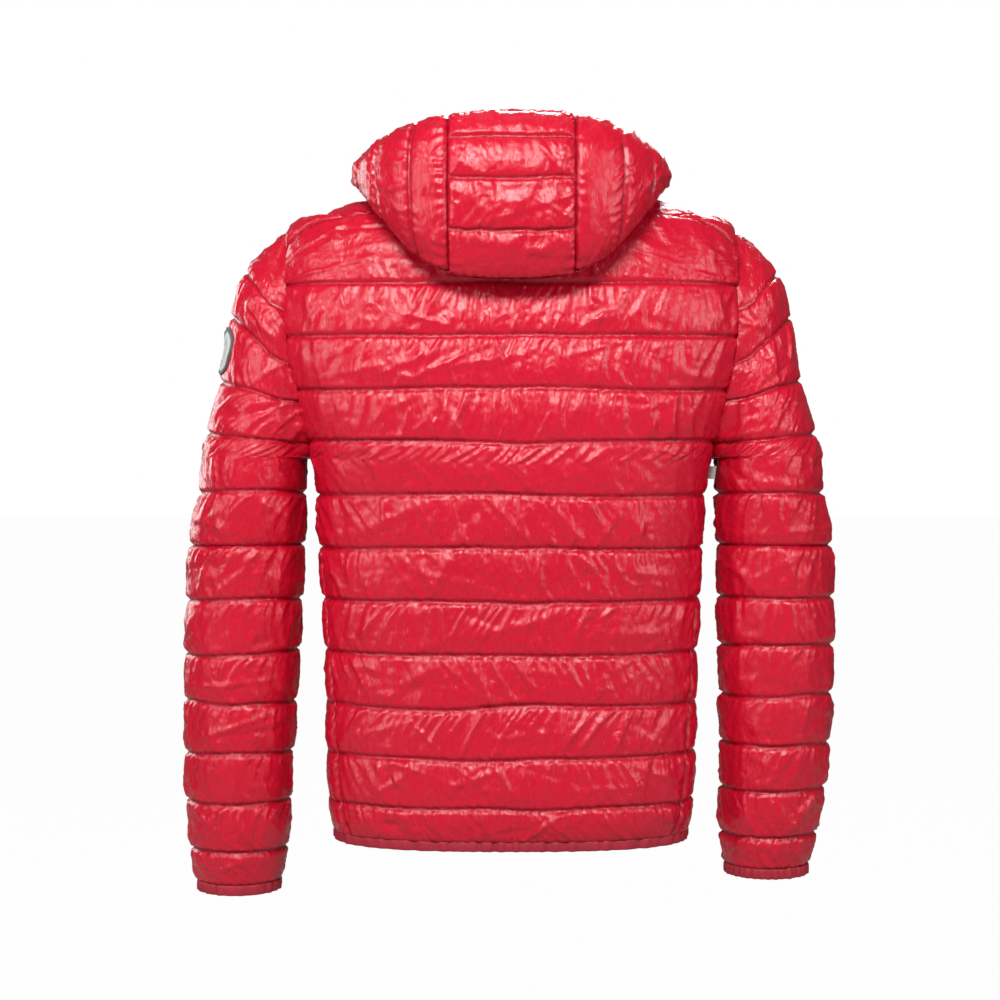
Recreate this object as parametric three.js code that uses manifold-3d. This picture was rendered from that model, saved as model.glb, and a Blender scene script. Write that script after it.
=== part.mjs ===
// A quilted, hooded ski jacket as it hangs on a body: front zip closed, hood lying on the back.
// Millimetres, +Z up, the wearer faces -Y and the wearer's left is +X. The origin is the top of the
// hanger loop at the back of the neck.
import * as THREE from "three";
import { mergeVertices } from "three/addons/utils/BufferGeometryUtils.js";
import Module from "manifold-3d";

const wasm = await Module();
wasm.setup();

// ---- Body sizes ----
const backLength = 650; // hanger loop down to the hem
const hemHalfWidth = 185;
const waistHalfWidth = 195;
const chestHalfWidth = 201;
const shoulderHalfWidth = 231; // middle of the back to the shoulder point
const neckHalfWidth = 86;
const hemBack = 98; // how far the middle of the back stands behind the hanger loop's plane
const waistBack = 108;
const chestBack = 124;
const neckBack = 64;
const shoulderDrop = 24; // hanger loop down to the shoulder point
const neckRise = 20; // hanger loop up to the side of the neck seam
const neckFrontDip = 36; // the neck seam is this much lower in front than at its sides
const neckBackDip = 16;
const armholeHeight = 238;
const armholeHalfDepth = 68;
const armholeMidY = 2;

// ---- Front zip: one straight line from hem to collar ----
const zipFootY = -112;
const zipHeadY = -78;
const collarHeight = 56;
const toothHalf = 2.9; // half the width of the closed chain of teeth
const chainThickness = 2.4;
const tapeThickness = 0.8;
const placketHalf = 9; // the front panels stop this far from the middle

// ---- Cloth ----
const panelThickness = 10; // two skins and the fill between quilting seams
const liningThickness = 0.8;
const seamGap = 0.5; // sewn edges lie this far apart
const layerGap = 0.6; // between a panel and its lining
const bindingHeight = 10; // elastic binding of hem, cuffs and hood
const bindingThickness = 3.4;

// ---- Yokes ----
const firstSeamDrop = 87; // hanger loop down to the highest seam across the back
const yokeBackDrop = 54; // where the yoke seam meets the armhole, behind
const yokeFrontDrop = 86; // and in front

// ---- Sleeves ----
const sleeveLength = 452; // armpit down to the cuff's edge
const bicepsWidth = 118;
const bicepsDepth = 142;
const elbowWidth = 123;
const elbowDepth = 138;
const wristWidth = 107;
const wristDepth = 112;
const cuffWidth = 90;
const cuffDepth = 94;
const elbowBelowArmpit = 90;
const sleeveForward = 24; // the hand end hangs this far in front of the armhole
const sleeveSides = [
  { side: "left", sign: 1, drift: 4, shorter: 0 }, // drift: how far the cuff hangs outwards
  { side: "right", sign: -1, drift: -15, shorter: 17 },
];

// ---- Hood ----
const hoodReach = 108; // neck seam back to the roundest part of the hood
const hoodDrop = 90; // hanger loop down to the bottom of the hood
const hoodRise = 68; // and up to its top edge
const hoodSideReach = 66;
const hoodThickness = 9;
const hoodCentreHalf = 63; // half the width of the middle panel
const hoodNeckGap = 1.5; // clear of the collar
const hoodEndAngle = 90; // the hood ends this far round from the middle of the back, degrees

// ---- Pockets ----
const pocketX = 128;
const pocketLength = 150;
const pocketAboveHem = 95;
const pocketBagWidth = 110;

const backZ = (drop) => -drop;
const hemZ = -backLength;
const shoulderZ = -shoulderDrop;
const armholeMidZ = shoulderZ - armholeHeight / 2;
const armpitZ = shoulderZ - armholeHeight;
const collarTopZ = neckRise - neckFrontDip + collarHeight;
const rad = THREE.MathUtils.degToRad;
const lerp = THREE.MathUtils.lerp;
const smooth = THREE.MathUtils.smoothstep;

const parts = new THREE.Group();

const finish = {
  shell: { color: "#c0203a", roughness: 0.42, metalness: 0 },
  binding: { color: "#b01f35", roughness: 0.7, metalness: 0 },
  lining: { color: "#26282d", roughness: 0.55, metalness: 0 },
  tape: { color: "#8f1b2c", roughness: 0.8, metalness: 0 },
  teeth: { color: "#7d1524", roughness: 0.35, metalness: 0 },
  metal: { color: "#8b8f96", roughness: 0.3, metalness: 1 },
  label: { color: "#d9d9d6", roughness: 0.7, metalness: 0 },
  badge: { color: "#e8e8e4", roughness: 0.85, metalness: 0 },
};

function place(name, geometry, look, into = parts) {
  const mesh = new THREE.Mesh(geometry, new THREE.MeshStandardMaterial(finish[look]));
  mesh.name = name;
  into.add(mesh);
  return mesh;
}

// ---- Sheets: a subdivided box bent onto a surface, so that it has both faces and its edges ----
function normalAt(surface, u, v) {
  const step = 1e-3;
  const u0 = Math.max(0, u - step);
  const u1 = Math.min(1, u + step);
  const v0 = Math.max(0, v - step);
  const v1 = Math.min(1, v + step);
  const across = surface(u1, v).sub(surface(u0, v));
  const along = surface(u, v1).sub(surface(u, v0));
  return across.cross(along).normalize();
}

// The surface runs so that its normal points out of the jacket; inner and outer are measured along it.
function sheet(surface, acrossCount, alongCount, inner, outer) {
  const box = new THREE.BoxGeometry(1, 1, 1, acrossCount, alongCount, 1);
  const position = box.getAttribute("position");
  for (let i = 0; i < position.count; i++) {
    const u = position.getX(i) + 0.5;
    const v = position.getY(i) + 0.5;
    const depth = position.getZ(i) > 0 ? outer : inner;
    const point = surface(u, v).addScaledVector(normalAt(surface, u, v), depth);
    position.setXYZ(i, point.x, point.y, point.z);
  }
  // Both faces are split along the same diagonals, so that layers follow each other.
  const { start, count } = box.groups[5];
  for (let i = start; i < start + count; i += 6) {
    const [a, b, d, c] = [0, 1, 2, 4].map((k) => box.index.getX(i + k));
    [a, b, c, a, c, d].forEach((corner, k) => box.index.setX(i + k, corner));
  }
  box.computeVertexNormals();
  return box;
}

// The same sheet on the other side of the jacket keeps its normal outwards.
const mirrored = (surface) => (u, v) => surface(1 - u, v).multiply(new THREE.Vector3(-1, 1, 1));
const sided = (surface, sign) => (sign > 0 ? surface : mirrored(surface));

// ---- The body: rings from hem to neck ----
const zipY = (z) => zipFootY + ((z - hemZ) / (collarTopZ - hemZ)) * (zipHeadY - zipFootY);

// height, half width, middle of the back, squareness
const rings = [
  [hemZ, hemHalfWidth, hemBack, 2.6],
  [hemZ + 45, (hemHalfWidth + 2 * waistHalfWidth) / 3, (hemBack + waistBack) / 2 + 4, 2.6],
  [hemZ * 0.72, waistHalfWidth, waistBack, 2.6],
  [armpitZ - 68, chestHalfWidth, chestBack - 8, 2.6],
  [armpitZ, chestHalfWidth + 6, chestBack - 2, 2.8],
  [armholeMidZ - 60, lerp(chestHalfWidth, shoulderHalfWidth, 0.8), chestBack + 1, 3],
  [armholeMidZ, shoulderHalfWidth + 11, chestBack, 3],
  [shoulderZ - 50, shoulderHalfWidth + 8, chestBack - 9, 3],
  [shoulderZ, shoulderHalfWidth, lerp(neckBack, chestBack, 0.56), 2.8],
  [lerp(shoulderZ, neckRise, 0.36), lerp(shoulderHalfWidth, neckHalfWidth, 0.27), lerp(neckBack, chestBack, 0.41), 2.6],
  [lerp(shoulderZ, neckRise, 0.68), lerp(shoulderHalfWidth, neckHalfWidth, 0.6), lerp(neckBack, chestBack, 0.23), 2.4],
  [neckRise, neckHalfWidth, neckBack, 2.1],
];
const neckRow = rings.length - 1;
const shoulderRow = 8;
const ringCurve = new THREE.CubicInterpolant(rings.map((_, i) => i), rings.flat(), 4, new Float32Array(4));

function ringAt(row) {
  const [z, halfWidth, back, squareness] = ringCurve.evaluate(THREE.MathUtils.clamp(row, 0, neckRow));
  const front = zipY(z);
  return { z, halfWidth, squareness, midY: (back + front) / 2, halfDepth: (back - front) / 2 };
}

function rowAt(z) {
  let low = 0;
  let high = neckRow;
  for (let i = 0; i < 30; i++) {
    const mid = (low + high) / 2;
    if (ringAt(mid).z < z) low = mid;
    else high = mid;
  }
  return (low + high) / 2;
}

// A point of the body at a polar angle (0 is the left side, 90 the back, -90 the front), in radians.
function body(angle, row) {
  const ring = ringAt(row);
  const c = Math.abs(Math.cos(angle)) / ring.halfWidth;
  const s = Math.abs(Math.sin(angle)) / ring.halfDepth;
  const radius = (c ** ring.squareness + s ** ring.squareness) ** (-1 / ring.squareness);
  const dip = smooth(row, shoulderRow - 1, neckRow);
  const lower = Math.sin(angle) > 0 ? neckBackDip : neckFrontDip;
  return new THREE.Vector3(
    radius * Math.cos(angle),
    ring.midY + radius * Math.sin(angle),
    ring.z - lower * dip * Math.sin(angle) ** 2,
  );
}

// The angle at which a ring passes a given y, on the left side.
function angleAtY(row, y) {
  const ring = ringAt(row);
  const dy = y - ring.midY;
  const share = Math.min(1, Math.abs(dy) / ring.halfDepth) ** ring.squareness;
  return Math.atan2(dy, ring.halfWidth * (1 - share) ** (1 / ring.squareness));
}

// The angle at which a ring passes a given x, in front of the left side.
function frontAngleAtX(row, x) {
  const ring = ringAt(row);
  const share = (x / ring.halfWidth) ** ring.squareness;
  return Math.atan2(-ring.halfDepth * (1 - share) ** (1 / ring.squareness), x);
}

// Half the depth that the front and back panels leave between them at a height: the armhole, and
// below it the side panel.
const sidePanelTop = 9;
const sidePanelHem = 56;
const sideInset = 1.2; // these two edges are gathered, so they keep a little more room
const yokeInset = 5.5;
function sideHalf(z) {
  const rise = (z - armholeMidZ) / (armholeHeight / 2);
  if (rise > -1) return Math.max(sidePanelTop, armholeHalfDepth * Math.sqrt(Math.max(0, 1 - rise * rise)));
  return lerp(sidePanelTop, sidePanelHem, Math.min(1, (armpitZ - z) / (armpitZ - hemZ)) ** 0.45);
}

const edgeAngle = (row, side, gap = seamGap / 2) =>
  angleAtY(row, armholeMidY + side * (sideHalf(ringAt(row).z) + gap));

// Rows of a panel: even in height up to the first seam, then fanned up to the yoke seam and the neck.
function panelPoint(u, v, foot, turn, side, centreAngle, yokeDrop, neckAngle) {
  const turnShare = 0.8;
  const turnRow = rowAt(turn);
  if (v <= turnShare) {
    const row = rowAt(lerp(foot, turn, v / turnShare));
    return body(lerp(edgeAngle(row, side), centreAngle(row), u), row);
  }
  const rise = (v - turnShare) / (1 - turnShare);
  const yokeRow = rowAt(backZ(yokeDrop)) - 0.02;
  const outer = edgeAngle(lerp(turnRow, yokeRow, rise), side);
  const angle = lerp(outer, centreAngle(lerp(turnRow, neckRow, rise)), u);
  const fan = THREE.MathUtils.clamp((angle - edgeAngle(yokeRow, side)) / (neckAngle - edgeAngle(yokeRow, side)), 0, 1);
  return body(angle, lerp(turnRow, lerp(yokeRow, neckRow, fan), rise));
}

const panelFoot = hemZ + bindingHeight * 0.5 + seamGap;
const yokeNeckBack = rad(52);
const yokeNeckFront = rad(-46);
const quarterTurn = Math.PI / 2;

const backHalf = (u, v) =>
  panelPoint(u, v, panelFoot, backZ(firstSeamDrop), 1, () => quarterTurn, yokeBackDrop, yokeNeckBack);
const back = (u, v) =>
  u < 0.5 ? backHalf(u * 2, v) : backHalf((1 - u) * 2, v).multiply(new THREE.Vector3(-1, 1, 1));

const frontLeft = (u, v) =>
  panelPoint(
    1 - u,
    v,
    panelFoot,
    backZ(yokeFrontDrop + 40),
    -1,
    (row) => frontAngleAtX(row, placketHalf),
    yokeFrontDrop,
    yokeNeckFront,
  );

function sideLeft(u, v) {
  const row = rowAt(lerp(panelFoot, armpitZ - seamGap, v));
  const z = ringAt(row).z;
  return body(angleAtY(row, armholeMidY + lerp(-1, 1, u) * (sideHalf(z) - sideInset)), row);
}

// The yoke's outer edge follows the top of the armhole from its back seam to its front one.
function yokeLeft(u, v) {
  const turnAt = (drop) => Math.acos((backZ(drop) - armholeMidZ) / (armholeHeight / 2));
  const turn = lerp(-turnAt(yokeFrontDrop - yokeInset), turnAt(yokeBackDrop - yokeInset), u);
  const outerRow = rowAt(armholeMidZ + (armholeHeight / 2) * Math.cos(turn));
  const outerAngle = angleAtY(outerRow, armholeMidY + armholeHalfDepth * Math.sin(turn));
  const inset = yokeInset / neckHalfWidth;
  const neckAngle = lerp(yokeNeckFront + inset, yokeNeckBack - inset, u);
  return body(lerp(outerAngle, neckAngle, v), lerp(outerRow, neckRow, v));
}

const liningOuter = -panelThickness - layerGap;
const liningInner = liningOuter - liningThickness;

const backCount = [16, 12];
const frontCount = [9, 12];
function lined(name, liningName, surface, [across, along], into = parts) {
  place(name, sheet(surface, across, along, -panelThickness, 0), "shell", into);
  place(liningName, sheet(surface, across, along, liningInner, liningOuter), "lining", into);
}

lined("back_panel", "back_lining", back, backCount);
for (const { side, sign } of sleeveSides) {
  lined(`${side}_front_panel`, `${side}_front_lining`, sided(frontLeft, sign), frontCount);
  place(`${side}_side_panel`, sheet(sided(sideLeft, sign), 4, 8, -panelThickness, 0), "shell");
  place(`${side}_shoulder_yoke`, sheet(sided(yokeLeft, sign), 8, 5, -panelThickness, 0), "shell");
}

// ---- Hem binding: a band round the foot of the body, open at the zip ----
function hemBand(u, v) {
  const turn = lerp(frontAngleAtX(0, placketHalf), Math.PI - frontAngleAtX(0, placketHalf), u);
  const point = body(turn, 0);
  point.z += lerp(-bindingHeight * 0.5, bindingHeight * 0.5, v);
  return point;
}
place("hem_binding", sheet(hemBand, 40, 1, -bindingThickness - 2, -2), "binding");

// ---- Collar: it stands on the neck seam and leans in ----
const collarLean = 0.16; // the collar leans in by this share of its height
const collarThickness = 7;
function collarRing(angle, height) {
  const foot = body(angle, neckRow);
  const ring = ringAt(neckRow);
  const lean = 1 - (collarLean * height) / neckHalfWidth;
  const point = new THREE.Vector3(foot.x * lean, ring.midY + (foot.y - ring.midY) * lean, foot.z + height);
  const frontShare = smooth(-Math.sin(angle), 0.3, 1);
  point.y += frontShare * (zipY(point.z) - (ring.midY - ring.halfDepth * lean));
  return point;
}
function collar(u, v) {
  const edge = frontAngleAtX(neckRow, placketHalf + collarLean * 8);
  return collarRing(lerp(edge, Math.PI - edge, u), lerp(2 * seamGap, collarHeight - bindingHeight / 2, v));
}
place("stand_collar", sheet(collar, 28, 3, -collarThickness, 0), "shell");
const collarLiningOuter = -collarThickness - layerGap;
place("collar_lining", sheet(collar, 28, 3, collarLiningOuter - liningThickness, collarLiningOuter), "lining");

// ---- Sleeves ----
// Each row runs from an outer point over the front and the back of the arm to the armhole, or, below
// the armpit, right round to the underarm seam.
// beyond the shoulder point, outer drop and inner drop as shares of the armhole's height, half depth
const headRows = [
  [9, 0.015, 0.03, 23],
  [46, 0.19, 0.38, 68],
  [61, 0.385, 0.62, 70],
  [72, 0.66, 0.77, 71],
  [86, 0.885, 0.945, bicepsDepth / 2],
];
const armholeGap = 0.9;
const elbowZ = armpitZ - elbowBelowArmpit;
const cuffZ = armpitZ - sleeveLength;
const innerGap = 3; // the inner sleeve hangs this far outside the side of the chest

// height, outer x, inner x, half depth, middle y
function armRows({ drift, shorter }) {
  const wristZ = cuffZ + shorter + bindingHeight;
  const innerX = ringAt(rowAt(armpitZ)).halfWidth + innerGap;
  const rows = headRows.map(([beyond, outerDrop, innerDrop, halfDepth]) => [
    shoulderZ - outerDrop * armholeHeight,
    shoulderHalfWidth + beyond,
    shoulderZ - innerDrop * armholeHeight,
    innerX,
    halfDepth,
    armholeMidY,
  ]);
  const below = [
    [armpitZ - 6, bicepsWidth - 5, bicepsDepth, 0, 0],
    [lerp(armpitZ, elbowZ, 0.45), bicepsWidth - 2, bicepsDepth, 0.5, 0.05],
    [elbowZ, elbowWidth, elbowDepth, 2.5, 0.2],
    [lerp(elbowZ, wristZ, 0.3), elbowWidth + 1, lerp(elbowDepth, wristDepth, 0.25), 7, 0.45],
    [lerp(elbowZ, wristZ, 0.65), lerp(elbowWidth, wristWidth, 0.4), lerp(elbowDepth, wristDepth, 0.6), 14, 0.72],
    [lerp(elbowZ, wristZ, 0.87), wristWidth + 1, wristDepth, 17, 0.9],
    [wristZ, cuffWidth, cuffDepth, 26, 1],
  ];
  for (const [z, width, depth, out, forward] of below) {
    const share = (armpitZ - z) / sleeveLength;
    const inner = innerX + out + drift * share * share;
    rows.push([z, inner + width, z, inner, depth / 2, armholeMidY - sleeveForward * forward]);
  }
  return rows;
}

function sleeve(arm) {
  const rows = armRows(arm);
  const curve = new THREE.CubicInterpolant(rows.map((_, i) => i), rows.flat(), 6, new Float32Array(6));
  return (turn, along) => {
    const [outerZ, outerX, innerZ, innerX, halfDepth, midY] = curve.evaluate(along);
    const open = innerZ > armpitZ;
    const row = rowAt(innerZ);
    const half = open ? Math.min(sideHalf(innerZ), halfDepth * 0.99) : 0;
    const end = Math.PI - Math.asin(half / halfDepth);
    const edge = open ? body(edgeAngle(row, Math.sign(turn) || 1, 0), row).x + armholeGap : innerX;
    const angle = turn * (end - (open ? 0 : armholeGap / halfDepth / 2));
    const share = (1 - Math.cos(angle)) / (1 - Math.cos(end));
    return new THREE.Vector3(
      lerp(outerX, edge, share),
      midY + halfDepth * Math.sin(angle),
      lerp(outerZ, innerZ, share),
    );
  };
}

const elbowRow = headRows.length + 2;
const wristRow = headRows.length + 6;
const armPanel = (shape, from, to) => (u, v) => shape(lerp(-1, 1, u), lerp(from, to, v));
const arms = {};
for (const arm of sleeveSides) {
  const shape = sleeve(arm);
  arms[arm.side] = shape;
  const upper = armPanel(shape, elbowRow - 0.004, 0);
  const lower = armPanel(shape, wristRow - 0.008, elbowRow + 0.005);
  lined(`${arm.side}_upper_sleeve`, `${arm.side}_upper_sleeve_lining`, sided(upper, arm.sign), [18, 10]);
  lined(`${arm.side}_lower_sleeve`, `${arm.side}_lower_sleeve_lining`, sided(lower, arm.sign), [18, 6]);
  const cuff = (u, v) => {
    const point = shape(lerp(-1, 1, u), wristRow);
    point.z -= lerp(bindingHeight, 0.3, v);
    return point;
  };
  place(`${arm.side}_cuff_binding`, sheet(sided(cuff, arm.sign), 18, 1, -bindingThickness - 2, -2), "binding");
}

// ---- Hood: a deep pouch that lies on the back, swept round the neck ----
// half width, depth behind the neck's middle, squareness, share down to the fold, share up to the edge
const hoodMidY = -6;
const neckDepth = neckBack - hoodMidY + hoodNeckGap;
const hoodSection = [
  [neckHalfWidth + hoodNeckGap, neckDepth, 2.1, 0, 0],
  [neckHalfWidth + hoodSideReach * 0.32, neckDepth + hoodReach * 0.36, 2.6, 0.18, 0],
  [neckHalfWidth + hoodSideReach * 0.58, neckDepth + hoodReach * 0.58, 2.9, 0.62, 0],
  [neckHalfWidth + hoodSideReach * 0.8, neckDepth + hoodReach * 0.76, 3, 1, 0],
  [neckHalfWidth + hoodSideReach * 0.96, neckDepth + hoodReach * 0.93, 3, 0.72, 0],
  [neckHalfWidth + hoodSideReach * 1.02, neckDepth + hoodReach, 3, 0.22, 0],
  [neckHalfWidth + hoodSideReach, neckDepth + hoodReach * 0.97, 3, 0, 0.42],
  [neckHalfWidth + hoodSideReach * 0.82, neckDepth + hoodReach * 0.85, 3, 0, 0.82],
  [neckHalfWidth + hoodSideReach * 0.58, neckDepth + hoodReach * 0.68, 3, 0, 1],
  [neckHalfWidth + hoodSideReach * 0.36, neckDepth + hoodReach * 0.5, 3, 0, 0.9],
];
const hoodCurve = new THREE.CubicInterpolant(hoodSection.map((_, i) => i), hoodSection.flat(), 5, new Float32Array(5));
const foldRow = 3;
const brimRow = hoodSection.length - 1;
const hoodSideLow = 15; // over the shoulders the hood's fold stays this high
const hoodSideTop = 42;

function hood(turn, along) {
  const [halfWidth, depth, squareness, down, up] = hoodCurve.evaluate(along);
  const across = Math.abs(Math.sin(turn)) ** (2 / squareness);
  const behind = Math.abs(Math.cos(turn)) ** (2 / squareness);
  const backness = Math.cos(turn) > 0 ? behind : 0;
  const neckZ = neckRise - neckBackDip * backness ** 2 + hoodNeckGap;
  const low = lerp(hoodSideLow, -hoodDrop, backness ** 2.4);
  const high = lerp(hoodSideTop, hoodRise, backness ** 2.8);
  return new THREE.Vector3(
    halfWidth * across * Math.sign(turn),
    hoodMidY + depth * behind * Math.sign(Math.cos(turn)),
    neckZ + down * (low - neckZ) + up * (high - neckZ),
  );
}
const hoodEnd = rad(hoodEndAngle);
function centreTurn(along, half) {
  const [halfWidth, , squareness] = hoodCurve.evaluate(along);
  return Math.asin((half / halfWidth) ** (squareness / 2));
}
const hoodAcross = (u, v, from, to, startTurn, endTurn) => {
  const along = lerp(from, to, v);
  return hood(lerp(startTurn(along), endTurn(along), u), along);
};
const foldGap = 0.06;
const hoodCentre = (u, v) =>
  hoodAcross(u, v, foldRow + foldGap, brimRow, (a) => centreTurn(a, hoodCentreHalf), (a) => -centreTurn(a, hoodCentreHalf));
const hoodLeft = (u, v) =>
  hoodAcross(u, v, foldRow + foldGap, brimRow, () => hoodEnd, (a) => centreTurn(a, hoodCentreHalf + seamGap * 2));
const hoodInside = (u, v) => hoodAcross(u, v, foldRow + foldGap, brimRow, () => hoodEnd, () => -hoodEnd);
const hoodNeck = (u, v) => hoodAcross(u, v, 0, foldRow - 2 * foldGap, () => hoodEnd, () => -hoodEnd);

place("hood_neck_panel", sheet(hoodNeck, 24, 4, -4, 0), "shell");
place("hood_centre_panel", sheet(hoodCentre, 6, 9, -hoodThickness, 0), "shell");
for (const { side, sign } of sleeveSides)
  place(`hood_${side}_panel`, sheet(sided(hoodLeft, sign), 10, 9, -hoodThickness, 0), "shell");
const hoodLiningOuter = -hoodThickness - 2;
place("hood_lining", sheet(hoodInside, 26, 9, hoodLiningOuter - liningThickness, hoodLiningOuter), "lining");

// ---- Badge: a round patch sewn on the outside of the left upper sleeve ----
const badgeRadius = 25;
const badgeRow = 2.55;
const badgeTurn = 0.13; // towards the back, as a share of half a turn
function badge(u, v) {
  const a = 2 * u - 1;
  const b = 2 * v - 1;
  const across = a * Math.sqrt(1 - 0.48 * b * b);
  const along = b * Math.sqrt(1 - 0.48 * a * a);
  const rowHeight = armholeHeight * 0.27;
  const girth = bicepsDepth * 1.3;
  return arms.left(badgeTurn + (across * badgeRadius) / girth, badgeRow - (along * badgeRadius) / rowHeight);
}
place("sleeve_badge", sheet(badge, 8, 8, 1.4, 2.6), "badge");

// ---- Loop and labels ----
const loopHalf = 17;
const loopStrap = 5;
const loopHeight = 9;
const loopInner = collarLiningOuter - liningThickness - 0.6;
function hangerLoop(u, v) {
  const radius = loopHalf - loopStrap * (1 - v);
  const turn = Math.PI * (1 - u);
  return collarRing(quarterTurn + (radius * Math.cos(turn)) / neckBack, loopHeight + radius * Math.sin(turn));
}
place("hanger_loop", sheet(hangerLoop, 16, 1, loopInner - 1.2, loopInner), "lining");

const labelHalf = 24;
const labelDrop = 44;
const labelHeight = 22;
function neckLabel(u, v) {
  const row = rowAt(-labelDrop + lerp(-0.5, 0.5, v) * labelHeight);
  return body(quarterTurn + (lerp(-1, 1, u) * labelHalf) / chestBack, row);
}
place("neck_label", sheet(neckLabel, 4, 2, liningInner - 3, liningInner - 2.4), "label");

const sideLabelDrop = 9;
const sideLabelHeight = 13;
function sideLabel(u, v) {
  const row = rowAt(armpitZ - sideLabelDrop - (1 - v) * sideLabelHeight);
  return body(angleAtY(row, armholeMidY + lerp(8, 17, u)), row);
}
place("side_label", sheet(sided(sideLabel, -1), 1, 1, 1.3, 1.9), "label");

// ---- Zips: each is built upright along its own Z, facing -Y, and then laid along its opening ----
const chainGap = 0.3;
const sliderLength = 13;
const sliderHalf = 5.2;
const sliderWall = 1.5;
const bailHalf = 1.2;
const bailReach = 3.8;
const bailWall = 1.3;
const pullLength = 27;
const pullHalf = 3.4;
const pullThickness = 1.2;
const stopHeight = 3;
const boxHeight = 10;

function solidOf(geometry) {
  const bare = new THREE.BufferGeometry();
  const source = geometry.index ? geometry.toNonIndexed() : geometry;
  bare.setAttribute("position", source.getAttribute("position"));
  const merged = mergeVertices(bare, 1e-4);
  return new wasm.Manifold(
    new wasm.Mesh({
      numProp: 3,
      vertProperties: merged.getAttribute("position").array,
      triVerts: new Uint32Array(merged.index.array),
    }),
  );
}

function joined(...geometries) {
  const { vertProperties, triVerts } = geometries
    .map(solidOf)
    .reduce((all, one) => all.add(one))
    .getMesh();
  const made = new THREE.BufferGeometry();
  made.setAttribute("position", new THREE.BufferAttribute(vertProperties, 3));
  made.setIndex(new THREE.BufferAttribute(triVerts, 1));
  made.computeVertexNormals();
  return made;
}

function block(width, depth, height, x, y, z) {
  return new THREE.BoxGeometry(width, depth, height).translate(x, y, z);
}

function prism(outline, depth) {
  const shape = new THREE.Shape(outline.map(([a, b]) => new THREE.Vector2(a, b)));
  return new THREE.ExtrudeGeometry(shape, { depth, bevelEnabled: false });
}

// The slider's plate with its two edges turned in round the teeth, and the bail that holds the puller.
const plateFront = -(chainThickness / 2 + chainGap + sliderWall);
function sliderGeometry() {
  const inside = toothHalf + 0.9;
  const backEdge = 0.1;
  const plate = prism(
    [
      [-sliderHalf, plateFront],
      [sliderHalf, plateFront],
      [sliderHalf, backEdge],
      [inside, backEdge],
      [inside, plateFront + sliderWall],
      [-inside, plateFront + sliderWall],
      [-inside, backEdge],
      [-sliderHalf, backEdge],
    ],
    sliderLength,
  );
  const reach = plateFront - bailReach;
  const bail = prism(
    [
      [2.8, plateFront + 0.4],
      [2.8, reach],
      [10.2, reach],
      [10.2, plateFront + 0.4],
      [10.2 - bailWall, plateFront + 0.4],
      [10.2 - bailWall, reach + bailWall],
      [2.8 + bailWall, reach + bailWall],
      [2.8 + bailWall, plateFront + 0.4],
    ],
    2 * bailHalf,
  );
  // outline axes: first along Z, then along Y; the depth runs along X
  bail.applyMatrix4(new THREE.Matrix4().set(0, 0, 1, -bailHalf, 0, 1, 0, 0, 1, 0, 0, 0, 0, 0, 0, 1));
  return joined(plate, reversed(bail));
}

function reversed(geometry) {
  const bare = geometry.toNonIndexed ? (geometry.index ? geometry.toNonIndexed() : geometry) : geometry;
  const position = bare.getAttribute("position");
  const point = new THREE.Vector3();
  const other = new THREE.Vector3();
  for (let i = 0; i < position.count; i += 3) {
    point.fromBufferAttribute(position, i + 1);
    other.fromBufferAttribute(position, i + 2);
    position.setXYZ(i + 1, other.x, other.y, other.z);
    position.setXYZ(i + 2, point.x, point.y, point.z);
  }
  return bare;
}

// The puller hangs from its top bar, whose middle is the origin.
const barHalf = pullThickness / 2;
const windowEnd = bailReach + 0.9;
function pullerGeometry() {
  const outline = new THREE.Shape();
  outline.moveTo(-pullHalf, barHalf);
  outline.lineTo(-pullHalf, -pullLength + pullHalf);
  outline.absarc(0, -pullLength + pullHalf, pullHalf, Math.PI, 2 * Math.PI, false);
  outline.lineTo(pullHalf, barHalf);
  const opening = new THREE.Path();
  opening.moveTo(-bailHalf - 0.8, -barHalf);
  opening.lineTo(bailHalf + 0.8, -barHalf);
  opening.lineTo(bailHalf + 0.8, -windowEnd);
  opening.lineTo(-bailHalf - 0.8, -windowEnd);
  outline.holes.push(opening);
  const plate = new THREE.ExtrudeGeometry(outline, { depth: pullThickness, bevelEnabled: false, curveSegments: 6 });
  return plate.translate(0, 0, -pullThickness / 2).rotateX(Math.PI / 2);
}

function zip(prefix, length, tapeEnd, into) {
  const chainFoot = boxHeight + chainGap;
  const chainLength = length - chainFoot - stopHeight - 2 * chainGap;
  for (const { side, sign } of sleeveSides) {
    const tapeWidth = tapeEnd - toothHalf - 2 * chainGap;
    const tapeX = sign * (toothHalf + chainGap + tapeWidth / 2);
    const toothWidth = toothHalf - chainGap / 2;
    place(`${prefix}${side}_zip_tape`, block(tapeWidth, tapeThickness, length, tapeX, 1, length / 2), "tape", into);
    place(
      `${prefix}${side}_zip_teeth`,
      block(toothWidth, chainThickness, chainLength, (sign * (toothHalf + chainGap / 2)) / 2, 0, chainFoot + chainLength / 2),
      "teeth",
      into,
    );
  }
  place(`${prefix}zip_box`, block(2 * toothHalf, chainThickness + 0.8, boxHeight, 0, 0, boxHeight / 2), "teeth", into);
  const stop = block(2 * toothHalf, chainThickness, stopHeight, 0, 0, length - stopHeight / 2);
  place(`${prefix}zip_top_stop`, stop, "teeth", into);
  const sliderZ = length - stopHeight - 1 - sliderLength;
  place(`${prefix}zip_slider`, sliderGeometry(), "metal", into).position.z = sliderZ;
  const puller = place(`${prefix}zip_puller`, pullerGeometry(), "metal", into);
  puller.position.set(0, plateFront - (bailReach - bailWall) / 2, sliderZ + 2.8 + bailWall + 1.3);
}

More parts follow.
